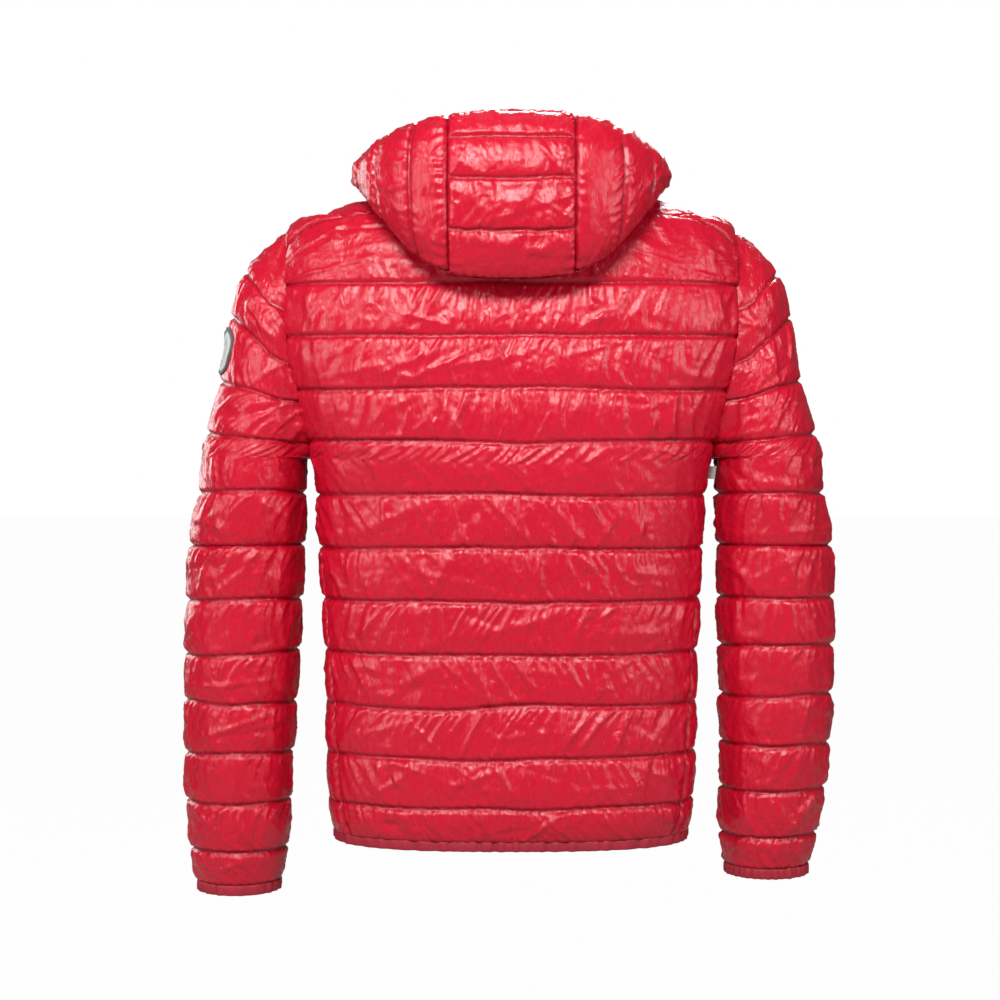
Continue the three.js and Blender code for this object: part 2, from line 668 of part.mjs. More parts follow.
const frontZip = new THREE.Group();
frontZip.position.set(0, zipFootY, hemZ);
frontZip.rotation.x = -Math.atan2(zipHeadY - zipFootY, collarTopZ - hemZ);
parts.add(frontZip);
zip("front_", Math.hypot(collarTopZ - hemZ, zipHeadY - zipFootY) - 1, placketHalf - 0.5, frontZip);

// The two hand pockets: a zip laid on each front panel and a flat bag behind the lining.
const pocketTape = 9;
const pocketLift = 2.1; // the tapes lie on the panel, the teeth in front of them
const pocketFoot = hemZ + pocketAboveHem;
function pocketPoint(z) {
  const row = rowAt(z);
  return body(frontAngleAtX(row, pocketX), row);
}
const pocketBase = pocketPoint(pocketFoot);
const pocketTop = pocketPoint(pocketFoot + pocketLength);
const pocketAngle = frontAngleAtX(rowAt(pocketFoot), pocketX);
const pocketRun = body(pocketAngle + 0.02, rowAt(pocketFoot)).sub(body(pocketAngle - 0.02, rowAt(pocketFoot)));
const pocketTurn = Math.atan2(pocketRun.y, pocketRun.x);
for (const { side, sign } of sleeveSides) {
  const opening = new THREE.Group();
  opening.rotation.set(-Math.atan2(pocketTop.y - pocketBase.y, pocketLength), 0, sign * pocketTurn, "ZXY");
  opening.position.set(
    sign * (pocketBase.x + pocketLift * Math.sin(pocketTurn)),
    pocketBase.y - pocketLift * Math.cos(pocketTurn),
    pocketBase.z,
  );
  parts.add(opening);
  zip(`${side}_pocket_`, pocketLength, pocketTape, opening);
  const bag = (u, v) => {
    const row = rowAt(pocketFoot - 30 + v * (pocketLength + 20));
    return body(frontAngleAtX(row, pocketX - pocketBagWidth * (1 - u) + 10), row);
  };
  place(`${side}_pocket_bag`, sheet(sided(bag, sign), 6, 6, liningInner - 2.8, liningInner - 1.3), "lining");
}

// The frame's origin is where the loop hangs on its hook.
const hang = collarRing(quarterTurn, loopHeight + loopHalf - loopStrap);
parts.position.set(0, -(hang.y + loopInner - 0.6), -hang.z);
const jacket = new THREE.Group();
jacket.add(parts);

export default jacket;
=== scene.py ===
import math
import zlib

import bmesh
import bpy
import numpy as np
from mathutils import Matrix, Vector
from mathutils.bvhtree import BVHTree


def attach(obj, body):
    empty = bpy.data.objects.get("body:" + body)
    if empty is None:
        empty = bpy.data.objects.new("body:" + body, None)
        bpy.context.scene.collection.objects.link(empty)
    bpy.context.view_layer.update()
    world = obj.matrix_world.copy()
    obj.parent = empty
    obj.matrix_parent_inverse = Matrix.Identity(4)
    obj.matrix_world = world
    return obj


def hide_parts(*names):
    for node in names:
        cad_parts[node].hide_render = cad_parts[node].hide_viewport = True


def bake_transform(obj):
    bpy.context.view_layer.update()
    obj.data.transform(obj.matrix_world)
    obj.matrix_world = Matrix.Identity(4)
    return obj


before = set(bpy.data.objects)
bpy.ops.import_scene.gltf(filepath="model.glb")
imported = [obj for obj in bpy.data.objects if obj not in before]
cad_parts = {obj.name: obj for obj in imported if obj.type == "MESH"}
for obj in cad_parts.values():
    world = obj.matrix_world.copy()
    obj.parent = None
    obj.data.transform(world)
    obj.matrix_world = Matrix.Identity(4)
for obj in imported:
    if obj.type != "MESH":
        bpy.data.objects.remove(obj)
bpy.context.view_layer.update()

# ---- Studio ----
# A plain white room with large soft lamps, seen from behind the jacket at chest height.
# The floor lies below the hanging jacket; the lamps stand behind and in front of it.
scene = bpy.context.scene
scene.view_settings.view_transform = "Standard"
camera_data = bpy.data.cameras.new("camera")
camera_data.lens = 79.6
camera_data.sensor_width = 36
camera_data.shift_y = -0.06
camera = bpy.data.objects.new("camera", camera_data)
camera.location = (0.0114, 2.248, -0.269)
camera.rotation_euler = (math.radians(90), 0, math.radians(180))
scene.collection.objects.link(camera)
scene.camera = camera

jacket_middle = Vector((0, 0, -0.35))
lamps = [  # name, place, width, height, watts
    ("key", (0.3, 2.2, 1.2), 1.0, 0.5, 66),
    ("left_strip", (1.8, 1.3, 0.2), 0.3, 1.2, 17),
    ("right_strip", (-1.8, 1.3, 0.2), 0.3, 1.2, 17),
    ("top", (0, -0.1, 1.9), 1.2, 0.8, 2),
    ("front_key", (-0.4, -2.0, 1.5), 1.0, 0.5, 60),
    ("front_side", (1.7, -1.5, 0.1), 0.3, 1.2, 15),
]
for lamp_name, place, width, height, watts in lamps:
    lamp_data = bpy.data.lights.new(lamp_name, "AREA")
    lamp_data.shape = "RECTANGLE"
    lamp_data.size, lamp_data.size_y = width, height
    lamp_data.energy = watts
    lamp = bpy.data.objects.new(lamp_name, lamp_data)
    lamp.location = place
    aim = jacket_middle - Vector(place)
    lamp.rotation_euler = aim.to_track_quat("-Z", "Y").to_euler()
    scene.collection.objects.link(lamp)

world = bpy.data.worlds.new("studio")
world.use_nodes = True
scene.world = world
sky = world.node_tree.nodes["Background"]
seen = world.node_tree.nodes.new("ShaderNodeBackground")
pick = world.node_tree.nodes.new("ShaderNodeMixShader")
path = world.node_tree.nodes.new("ShaderNodeLightPath")
sky.inputs["Strength"].default_value = 0.10
sky.inputs["Color"].default_value = seen.inputs["Color"].default_value = (1, 1, 1, 1)
world.node_tree.links.new(path.outputs["Is Camera Ray"], pick.inputs["Fac"])
world.node_tree.links.new(sky.outputs[0], pick.inputs[1])
world.node_tree.links.new(seen.outputs[0], pick.inputs[2])
world.node_tree.links.new(pick.outputs[0], world.node_tree.nodes["World Output"].inputs[0])

bpy.ops.object.select_all(action="DESELECT")
bpy.ops.mesh.primitive_plane_add(size=40, location=(0, 0, -1.05))
floor = bpy.context.object
floor.name = "studio_floor"
floor_look = bpy.data.materials.new("studio_paper")
floor_look.use_nodes = True
paper = floor_look.node_tree
paper.nodes["Principled BSDF"].inputs["Base Color"].default_value = (0.3, 0.3, 0.3, 1)
paper.nodes["Principled BSDF"].inputs["Roughness"].default_value = 0.9
glow = paper.nodes.new("ShaderNodeEmission")
glow.inputs["Strength"].default_value = 1.0
glow_mix = paper.nodes.new("ShaderNodeMixShader")
floor_path = paper.nodes.new("ShaderNodeLightPath")
glow_share = paper.nodes.new("ShaderNodeMath")
glow_share.operation = "MULTIPLY"
glow_share.inputs[1].default_value = 0.98
paper.links.new(floor_path.outputs["Is Camera Ray"], glow_share.inputs[0])
paper.links.new(glow_share.outputs[0], glow_mix.inputs["Fac"])
paper.links.new(paper.nodes["Principled BSDF"].outputs[0], glow_mix.inputs[1])
paper.links.new(glow.outputs[0], glow_mix.inputs[2])
paper.links.new(glow_mix.outputs[0], paper.nodes["Material Output"].inputs[0])
floor.data.materials.append(floor_look)

# ---- Body panels: back, fronts, sides and shoulder yokes ----
# Light down-proof nylon, cut a little large, quilted to its fill along level seams and sewn together edge
# to edge. The rings below are the body's girth from hem to neck, in millimetres.
hem_z, armpit_z, shoulder_z, collar_top_z = -650.0, -262.0, -24.0, 40.0
armhole_mid_z, armhole_half, armhole_half_depth, armhole_mid_y = -143.0, 119.0, 68.0, 2.0
frame_shift = np.array([0.0, -51.607, -25.0])  # the hanger loop's top is the origin
rings = np.array([  # height, half width, middle of the back, squareness
    [-650, 185, 98, 2.6], [-605, 191.667, 107, 2.6], [-468, 195, 108, 2.6], [-330, 201, 116, 2.6],
    [-262, 207, 122, 2.8], [-203, 225, 125, 3], [-143, 242, 124, 3], [-74, 239, 115, 3],
    [-24, 231, 97.6, 2.8], [-8.16, 191.85, 88.6, 2.6], [5.92, 144, 77.8, 2.4], [20, 86, 64, 2.1],
])
neck_row, shoulder_row = 11, 8


def lerp(a, b, share):
    return a + (b - a) * share


def smooth(x, low, high):
    t = np.clip((x - low) / (high - low), 0, 1)
    return t * t * (3 - 2 * t)


def spline(rows, at):
    last = len(rows) - 1
    at = np.clip(np.asarray(at, float), 0, last)
    left = np.clip(np.floor(at).astype(int), 0, last - 1)
    p = (at - left)[..., None]
    first, final = left == 0, left == last - 1
    wp = np.where(first, -0.5, 0.5)[..., None]
    wn = np.where(final, -0.5, 0.5)[..., None]
    before = rows[np.where(first, 1, left - 1)]
    after = rows[np.where(final, last - 1, np.minimum(left + 2, last))]
    return (
        (-wp * p**3 + 2 * wp * p**2 - wp * p) * before
        + ((1 + wp) * p**3 + (-1.5 - 2 * wp) * p**2 + (-0.5 + wp) * p + 1) * rows[left]
        + ((-1 - wn) * p**3 + (1.5 + wn) * p**2 + 0.5 * p) * rows[left + 1]
        + (wn * p**3 - wn * p**2) * after
    )


def zip_y(z):
    return -112 + (z - hem_z) / (collar_top_z - hem_z) * 34


row_table = np.linspace(0, neck_row, 2201)
row_heights = spline(rings, row_table)[:, 0]


def row_at(z):
    return np.interp(z, row_heights, row_table)


def ring_at(row):
    z, half_width, back_y, square = np.moveaxis(spline(rings, row), -1, 0)
    front_y = zip_y(z)
    return z, half_width, square, (back_y + front_y) / 2, (back_y - front_y) / 2


def body(angle, row):
    z, half_width, square, mid_y, half_depth = ring_at(row)
    c, s = np.cos(angle), np.sin(angle)
    radius = ((np.abs(c) / half_width) ** square + (np.abs(s) / half_depth) ** square) ** (-1 / square)
    dip = np.clip((row - shoulder_row + 1) / (neck_row - shoulder_row + 1), 0, 1)
    lower = np.where(s > 0, 16, 36)
    return np.stack([radius * c, mid_y + radius * s, z - lower * dip * s**2], -1)


def angle_at_y(row, y):
    z, half_width, square, mid_y, half_depth = ring_at(row)
    share = np.minimum(1, np.abs(y - mid_y) / half_depth) ** square
    return np.arctan2(y - mid_y, half_width * (1 - share) ** (1 / square))


def front_angle_at_x(row, x):
    z, half_width, square, mid_y, half_depth = ring_at(row)
    share = (x / half_width) ** square
    return np.arctan2(-half_depth * (1 - share) ** (1 / square), x)


def side_half(z):
    rise = (z - armhole_mid_z) / armhole_half
    arch = np.maximum(9, armhole_half_depth * np.sqrt(np.maximum(0, 1 - rise**2)))
    below = 9 + 47 * np.clip((armpit_z - z) / (armpit_z - hem_z), 0, 1) ** 0.45
    return np.where(rise > -1, arch, below)


def edge_angle(row, side):
    return angle_at_y(row, armhole_mid_y + side * side_half(ring_at(row)[0]))


turn_share = 0.8  # a panel's rows are level up to here and fan out to the yoke and the neck above


def panel_point(u, v, turn_z, side, centre_angle, yoke_drop, neck_angle):
    foot, turn_row = hem_z + 3.5, row_at(turn_z)
    row = row_at(lerp(foot, turn_z, v / turn_share))
    level = body(lerp(edge_angle(row, side), centre_angle(row), u), row)
    rise = np.clip((v - turn_share) / (1 - turn_share), 0, 1)
    yoke_row = row_at(-yoke_drop)
    outer = edge_angle(lerp(turn_row, yoke_row, rise), side)
    angle = lerp(outer, centre_angle(lerp(turn_row, neck_row, rise)), u)
    start = edge_angle(yoke_row, side)
    fan = np.clip((angle - start) / (neck_angle - start), 0, 1)
    fanned = body(angle, lerp(turn_row, lerp(yoke_row, neck_row, fan), rise))
    return np.where((v <= turn_share)[..., None], level, fanned)


yoke_neck_back, yoke_neck_front = math.radians(52), math.radians(-46)
yoke_back_drop, yoke_front_drop = 54, 86
back_turn_z, front_turn_z = -87, -126  # the last level rows
back_seams = [-87, -140, -194, -246, -300, -353, -406, -459, -511, -562, -612]
front_seams = [-126, -194, -246, -300, -353, -406, -459, -511, -562, -612]
mirror = np.array([-1, 1, 1])
placket_half = 7.6


def spine_angle(row):
    return math.pi / 2 + 0 * row


def placket_angle(row):
    return front_angle_at_x(row, placket_half)


def back(u, v):
    half = panel_point(np.where(u < 0.5, u * 2, (1 - u) * 2), v, back_turn_z, 1, spine_angle, yoke_back_drop,
                       yoke_neck_back)
    return np.where((u < 0.5)[..., None], half, half * mirror)


def front_left(u, v):
    return panel_point(1 - u, v, front_turn_z, -1, placket_angle, yoke_front_drop, yoke_neck_front)


def side_left(u, v):
    row = row_at(lerp(hem_z + 3.5, armpit_z - 0.5, v))
    return body(angle_at_y(row, armhole_mid_y + lerp(-1, 1, u) * side_half(ring_at(row)[0])), row)


def armhole_turn(drop):
    return math.acos((-drop - armhole_mid_z) / armhole_half)


def yoke_left(u, v):
    turn = lerp(-armhole_turn(yoke_front_drop), armhole_turn(yoke_back_drop), u)
    outer_row = row_at(armhole_mid_z + armhole_half * np.cos(turn))
    outer_angle = angle_at_y(outer_row, armhole_mid_y + armhole_half_depth * np.sin(turn))
    neck_angle = lerp(yoke_neck_front, yoke_neck_back, u)
    return body(lerp(outer_angle, neck_angle, v), lerp(outer_row, neck_row, v))


def sided(surface, sign):
    """The surface on the left, or its mirror image on the right."""
    def mirrored(u, v):
        return surface(1 - u, v) * mirror
    return surface if sign > 0 else mirrored


def out_of(surface, u, v, depth, low=0, high=1):
    """Points on a surface, moved along its outward normal."""
    step = 1e-3
    u0, u1 = np.maximum(low, u - step), np.minimum(high, u + step)
    v0, v1 = np.maximum(low, v - step), np.minimum(high, v + step)
    normal = np.cross(surface(u1, v) - surface(u0, v), surface(u, v1) - surface(u, v0))
    normal /= np.maximum(np.linalg.norm(normal, axis=-1, keepdims=True), 1e-9)
    return surface(u, v) + normal * np.asarray(depth)[..., None], normal


def placed(points):
    return (points + frame_shift) / 1000


def lines_between(seams, run, step):
    """Grid lines about a step apart that fall on every seam, and which of them are seams."""
    values, marks = [seams[0]], [0]
    for a, b in zip(seams, seams[1:]):
        count = max(3, round(run(a, b) / step))
        values += list(np.linspace(a, b, count + 1)[1:])
        marks.append(len(values) - 1)
    return np.array(values), marks


def seam_distance(points, marks, axis, reach, droop=1.0):
    """Each grid point's distance to the nearest seam line along an axis, and how far up its puff it is."""
    points = np.moveaxis(points, axis, 0)
    run = np.concatenate([np.zeros_like(points[:1, :, 0]),
                          np.cumsum(np.linalg.norm(np.diff(points, axis=0), axis=-1), 0)])
    near, puff = np.zeros_like(run), np.zeros_like(run)
    for a, b in zip(marks, marks[1:]):
        part = np.minimum(run[a:b + 1] - run[a], run[b] - run[a:b + 1])
        half = np.minimum((run[b] - run[a]) / 2, reach)
        near[a:b + 1] = part
        share = np.clip((run[a:b + 1] - run[a]) / (run[b] - run[a]), 0, 1) ** droop * (run[b] - run[a])
        hung = np.minimum(share, run[b] - run[a] - share)
        puff[a:b + 1] = np.sqrt(np.clip(1 - (1 - np.minimum(hung / half, 1)) ** 2, 0, 1))
    return np.moveaxis(near, 0, axis), np.moveaxis(puff, 0, axis), np.moveaxis(run, 0, axis)


def grid_faces(nu, nv, base, flip):
    i, j = np.meshgrid(np.arange(nu - 1), np.arange(nv - 1), indexing="ij")
    a = base + i * nv + j
    quad = np.stack([a, a + nv, a + nv + 1, a + 1], -1).reshape(-1, 4)
    return quad[:, ::-1] if flip else quad


def puckers(rng, run, depth, length, ease):
    """Small folds that start at a seam, where the thread gathers the cloth, and die out across the puff."""
    height = np.zeros_like(run)
    lean, sway = rng.normal(0, 0.25), rng.uniform(60, 140)
    at = run.min() + rng.uniform(0, 6)
    while at < run.max():
        wide, long = rng.uniform(1.7, 3.6), length * rng.uniform(0.15, 1.0) ** 0.8
        slant = lean + 0.3 * math.sin(at / sway * 2 * math.pi) + rng.normal(0, 0.16)
        tall = ease * rng.uniform(0.3, 1.0)
        spread = wide * (1 + depth / 45)
        fade = np.clip(1 - depth / (long + 4), 0, 1) ** 0.6 * (0.35 + 0.65 * smooth(depth, 0, 5))
        height += tall * np.exp(-np.abs((run - at - slant * depth) / spread) ** 1.7) * fade
        at += rng.uniform(5, 12)
    return height


def long_creases(rng, along, up, count, tall):
    """The few long soft creases that cross a puff at a slant."""
    height = np.zeros_like(along)
    for _ in range(count):
        x, y = rng.uniform(along.min(), along.max()), rng.uniform(up.min(), up.max())
        turn, wide, long = rng.normal(0, 0.55), rng.uniform(2.5, 6), rng.uniform(18, 55)
        a, b = along - x, up - y
        down, over = a * math.sin(turn) + b * math.cos(turn), a * math.cos(turn) - b * math.sin(turn)
        near = np.exp(-(over / long) ** 2 - (down / wide) ** 2)
        height += tall * rng.uniform(-0.7, 1) * near
    return height


def evened(surface, u, v, marks):
    """The grid lines between two seams spread evenly over the cloth, column by column."""
    v = v.copy()
    for a, b in zip(marks, marks[1:]):
        fine = v[:, a:a + 1] + (v[:, b:b + 1] - v[:, a:a + 1]) * np.linspace(0, 1, 61)
        steps = np.linalg.norm(np.diff(surface(u[:, :1] + 0 * fine, fine), axis=1), axis=-1)
        run = np.pad(np.cumsum(steps, 1), ((0, 0), (1, 0)))
        for i in range(len(v)):
            v[i, a:b + 1] = np.interp(np.linspace(0, run[i, -1], b - a + 1), run[i], fine[i])
    return v


def length_of(points):
    return np.linalg.norm(np.diff(points, axis=0), axis=-1).sum()


waiting = []  # panels sewn but not yet filled
normal_passes, placket_reach, pull_reach = 8, 12, 30
fill_frames, air_pressure = 20, 2


def quilted(name, surface, columns, rows, step=3.6, thick=10, seam_depth=-6, crown=-2, ease=(1.06, 1.06, 1.02),
            cap=5, side_reach=16, row_reach=40, gather=(3.0, 2.3), creased=1.7, foot_depth=-6, head_depth=-6,
            droop=0.78, wander=1.6, sewn_to=None, head_to=None, side_depth=None):
    """A quilted panel's outer skin, pinned along its seams and cut larger than its place."""
    def run_u(a, b):
        between = np.linspace(a, b, 20)
        return length_of(surface(between, 0 * between + 0.4))

    def run_v(a, b):
        between = np.linspace(a, b, 20)
        return length_of(surface(0 * between + 0.5, between))

    u_lines, u_marks = lines_between(columns, run_u, step)
    v_lines, v_marks = lines_between(rows, run_v, step)
    u, v = np.meshgrid(u_lines, v_lines, indexing="ij")
    rng = np.random.default_rng(zlib.crc32(name.encode()))
    drift = np.zeros((len(v_marks), len(u_lines)))
    for k in range(1, len(v_marks) - 1):
        for waves in (1, 2.3, 4.7):
            drift[k] += rng.normal(0, wander / waves) * np.sin(2 * math.pi * (waves * u_lines + rng.uniform()))
    drift *= np.sin(math.pi * np.clip(u_lines, 0, 1)) ** 0.5 / run_v(0, 1)
    v = v + np.stack([np.interp(range(len(v_lines)), v_marks, column) for column in drift.T])
    v = evened(surface, u, v, v_marks)
    flat, normal = out_of(surface, u, v, 0 * u)
    for _ in range(normal_passes):
        normal[:, 1:-1] = (normal[:, :-2] + 2 * normal[:, 1:-1] + normal[:, 2:]) / 4
    near_u, puff_u, _ = seam_distance(flat, u_marks, 0, side_reach)
    near_v, puff_v, _ = seam_distance(flat, v_marks, 1, row_reach, droop)
    puff = puff_u * puff_v
    end_share = [np.clip(1 - v / rows[1], 0, 1), np.clip((v - rows[-2]) / (1 - rows[-2]), 0, 1)]
    base = seam_depth + (foot_depth - seam_depth) * end_share[0] + (head_depth - seam_depth) * end_share[1]
    if side_depth:
        end = u if side_depth[0] else 1 - u
        base += (side_depth[1] - base) * smooth(1 - (1 - end) * run_u(0, 1) / placket_reach, 0, 1)
    shake = np.where(puff > 0, rng.normal(0, 0.15, puff.shape), 0)
    pulled = np.zeros_like(flat)
    if sewn_to:
        for end in (0, -1):
            gap = sewn_to(u[end], v[end]) - (flat + normal * base[..., None])[end]
            reach = smooth(1 - np.abs(u - u[end]) * run_u(0, 1) / pull_reach, 0, 1)
            pulled += reach[..., None] * gap
    if head_to:
        gap = head_to(flat[:, -1]) - (flat + pulled + normal * base[..., None])[:, -1]
        reach = smooth(1 - (v[:, -1:] - v) * run_v(0, 1) / pull_reach, 0, 1)
        pulled += reach[..., None] * gap[:, None]
    start = placed(flat + pulled + normal * (base + (crown - base) * puff + shake)[..., None])
    inner = placed(flat + pulled + normal * (base - 0.7 - (thick + base - 0.7) * puff)[..., None])
    mesh = bpy.data.meshes.new(name)
    mesh.from_pydata(start.reshape(-1, 3), [], grid_faces(*u.shape, 0, False))
    piece = bpy.data.objects.new(name, mesh)
    scene.collection.objects.link(piece)
    sewn = piece.vertex_groups.new(name="sewn")
    sewn.add(np.flatnonzero((puff == 0).ravel()).tolist(), 1.0, "REPLACE")
    waiting.append(dict(piece=piece, start=start, normal=normal, inner=inner, cap=cap / 1000, ease=ease, rng=rng,
                          marks=(u_marks, v_marks), gather=gather, creased=creased, side_reach=side_reach))
    return piece


def fill_panels():
    """Blows the waiting panels up with air pressure between their pinned seams, then finishes each one."""
    for facts in waiting:
        piece = facts["piece"]
        piece.shape_key_add(name="Basis")
        cut = piece.shape_key_add(name="cut")
        cut.data.foreach_set("co", (facts["start"] * facts["ease"]).astype(np.float32).ravel())
        cut.value = 0
        cloth = piece.modifiers.new("fill", "CLOTH")
        cloth.settings.quality = 6
        cloth.settings.mass = 0.15
        cloth.settings.tension_stiffness = cloth.settings.compression_stiffness = 60
        cloth.settings.shear_stiffness = 20
        cloth.settings.bending_stiffness = 0.05
        cloth.settings.tension_damping = cloth.settings.compression_damping = 6
        cloth.settings.air_damping = 1.5
        cloth.settings.effector_weights.gravity = 0
        cloth.settings.use_pressure = True
        cloth.settings.uniform_pressure_force = air_pressure
        cloth.settings.vertex_group_mass = "sewn"
        cloth.settings.rest_shape_key = cut
        cloth.collision_settings.use_collision = False
        cloth.point_cache.frame_start, cloth.point_cache.frame_end = 1, fill_frames
    for step in range(1, fill_frames + 1):
        scene.frame_set(step)
    graph = bpy.context.evaluated_depsgraph_get()
    for facts in waiting:
        start, normal = facts["start"], facts["normal"]
        points = np.empty(start.size, np.float32)
        facts["piece"].evaluated_get(graph).data.vertices.foreach_get("co", points)
        moved = points.reshape(start.shape) - start
        size = np.linalg.norm(moved, axis=-1, keepdims=True)
        moved *= np.minimum(1, facts["cap"] / np.maximum(size, 1e-9))
        sink = np.minimum(0, (moved * normal).sum(-1) + 0.0015)
        facts["outer"] = start + moved - normal * sink[..., None]
    scene.frame_set(1)
    for facts in waiting:
        finish_panel(**facts)
    waiting.clear()


def halved(grid):
    """A grid with a new line midway between each two, set on a smooth curve through them."""
    for axis in (0, 1):
        grid = np.moveaxis(grid, axis, 0)
        wide = np.concatenate([2 * grid[:1] - grid[1:2], grid, 2 * grid[-1:] - grid[-2:-1]])
        between = (9 * (wide[1:-2] + wide[2:-1]) - wide[:-3] - wide[3:]) / 16
        new = np.empty((2 * len(grid) - 1, *grid.shape[1:]))
        new[::2], new[1::2] = grid, between
        grid = np.moveaxis(new, 0, axis)
    return grid


def finish_panel(piece, outer, normal, inner, marks, rng, gather, creased, side_reach, **_):
    """The filled skin made finer, gathered along its seams, and closed with its inside."""
    marks = [[2 * m for m in along] for along in marks]
    outer, normal = halved(outer), halved(normal)
    normal /= np.linalg.norm(normal, axis=-1, keepdims=True)
    near_u, puff_u, run_u = seam_distance(outer * 1000, marks[0], 0, side_reach)
    near_v, puff_v, run_v = seam_distance(outer * 1000, marks[1], 1, 40)
    across, up = run_u.mean(1, keepdims=True) + 0 * run_u, run_v.mean(0, keepdims=True) + 0 * run_v
    height = np.zeros_like(near_u)
    for k, (reach_run, run, axis) in enumerate(((run_v, run_u, 1), (run_u, run_v, 0))):
        for low, high in zip(marks[1 - k], marks[1 - k][1:]):
            cut = (slice(None), slice(low, high + 1)) if axis == 1 else (slice(low, high + 1), slice(None))
            depth = reach_run[cut]
            foot, head = depth.min(axis, keepdims=True), depth.max(axis, keepdims=True)
            long = min(float((head - foot).max()), 55 if axis == 1 else 26)
            height[cut] += puckers(rng, run[cut], depth - foot, long * 0.6, 0.7 * gather[k])
            height[cut] += puckers(rng, run[cut], head - depth, long, gather[k])
    area = across.max() * up.max()
    height += long_creases(rng, across, up, int(area / 900), 1.1 * creased) * np.minimum(puff_u, puff_v)
    edge = np.minimum(near_u, near_v)
    outer = outer + normal * (height * smooth(edge, -0.8, 3.0) * np.minimum(1, edge + 0.35))[..., None] / 1000
    nu, nv = near_u.shape
    index = np.arange(nu * nv).reshape(nu, nv)
    coarse = nu * nv + np.arange(inner.shape[0] * inner.shape[1]).reshape(inner.shape[:2])
    faces = grid_faces(nu, nv, 0, False).tolist() + grid_faces(*inner.shape[:2], nu * nv, True).tolist()
    for fine_edge, coarse_edge in ((index[:, 0], coarse[:, 0]), (index[-1], coarse[-1]),
                                   (index[::-1, -1], coarse[::-1, -1]), (index[0, ::-1], coarse[0, ::-1])):
        for k in range(len(coarse_edge) - 1):
            faces.append([coarse_edge[k], coarse_edge[k + 1], *fine_edge[[2 * k + 2, 2 * k + 1, 2 * k]]])
    mesh = bpy.data.meshes.new(piece.name + "_cloth")
    mesh.from_pydata(np.concatenate([outer.reshape(-1, 3), inner.reshape(-1, 3)]).tolist(), [], faces)
    for key, values in (("seam", edge), ("across", near_u < near_v)):
        attribute = mesh.attributes.new(key, "FLOAT", "POINT")
        both = np.concatenate([values.ravel(), values[::2, ::2].ravel()])
        attribute.data.foreach_set("value", both.astype(np.float32))
    corner = np.empty(len(mesh.loops), np.int32)
    mesh.loops.foreach_get("vertex_index", corner)
    length = np.stack([run_u, run_v], -1) / 1000
    both = np.concatenate([length.reshape(-1, 2), length[::2, ::2].reshape(-1, 2)])
    mesh.uv_layers.new(name="cloth").data.foreach_set("uv", both[corner].astype(np.float32).ravel())
    mesh.polygons.foreach_set("use_smooth", np.ones(len(faces), bool))
    piece.modifiers.clear()
    piece.shape_key_clear()
    piece.vertex_groups.clear()
    piece.data = mesh
    mesh.materials.append(shell_cloth)


def group(name, inputs, outputs):
    """An empty shader node group with its sockets."""
    tree = bpy.data.node_groups.new(name, "ShaderNodeTree")
    for socket, kind, value in inputs:
        made = tree.interface.new_socket(socket, in_out="INPUT", socket_type=kind)
        made.default_value = value
    for socket, kind in outputs:
        tree.interface.new_socket(socket, in_out="OUTPUT", socket_type=kind)
    return tree, tree.nodes.new("NodeGroupInput"), tree.nodes.new("NodeGroupOutput")


def node(tree, kind, values=(), **settings):
    """A node with its settings, and its inputs either set or linked."""
    made = tree.nodes.new(kind)
    for key, value in settings.items():
        setattr(made, key, value)
    for key, value in dict(values).items():
        if isinstance(value, bpy.types.NodeSocket):
            tree.links.new(value, made.inputs[key])
        else:
            made.inputs[key].default_value = value
    return made


def maths(tree, how, a, b=0.0, c=0.0, clamp=False):
    made = node(tree, "ShaderNodeMath", {0: a, 1: b, 2: c}, operation=how)
    made.use_clamp = clamp
    return made.outputs[0]


# Crinkle: the small creases of thin calendered nylon, drawn out along the pull of the seams.
crinkle, crinkle_in, crinkle_out = group(
    "crinkle", [("Vector", "NodeSocketVector", (0, 0, 0)), ("Scale", "NodeSocketFloat", 60.0)],
    [("Height", "NodeSocketFloat"), ("Mask", "NodeSocketFloat")])
stretched = node(crinkle, "ShaderNodeMapping",
                 {"Vector": crinkle_in.outputs["Vector"], "Scale": (1.6, 1.6, 0.75)})
broad = node(crinkle, "ShaderNodeTexNoise",
             {"Vector": stretched.outputs[0], "Scale": crinkle_in.outputs["Scale"], "Detail": 3.0,
              "Roughness": 0.55, "Distortion": 1.2})
ridged = maths(crinkle, "ABSOLUTE", maths(crinkle, "SUBTRACT", broad.outputs["Fac"], 0.5))
fine_scale = maths(crinkle, "MULTIPLY", crinkle_in.outputs["Scale"], 3.1)
fine = node(crinkle, "ShaderNodeTexNoise", {"Vector": stretched.outputs[0], "Scale": fine_scale, "Detail": 2.0})
crinkle.links.new(maths(crinkle, "MULTIPLY_ADD", fine.outputs["Fac"], 0.25,
                        maths(crinkle, "MULTIPLY", ridged, -2.2)), crinkle_out.inputs["Height"])
crinkle.links.new(broad.outputs["Fac"], crinkle_out.inputs["Mask"])

# Weave: plain weave threads, over and under, from the cloth's own lengths.
weave, weave_in, weave_out = group(
    "plain_weave", [("UV", "NodeSocketVector", (0, 0, 0)), ("Threads", "NodeSocketFloat", 2500.0)],
    [("Height", "NodeSocketFloat")])
split = node(weave, "ShaderNodeSeparateXYZ", {0: weave_in.outputs["UV"]})
thread_pitch = maths(weave, "MULTIPLY", weave_in.outputs["Threads"], math.pi)
warp, weft = [maths(weave, "SINE", maths(weave, "MULTIPLY", split.outputs[k], thread_pitch)) for k in (0, 1)]
weave.links.new(maths(weave, "MULTIPLY", warp, weft), weave_out.inputs["Height"])

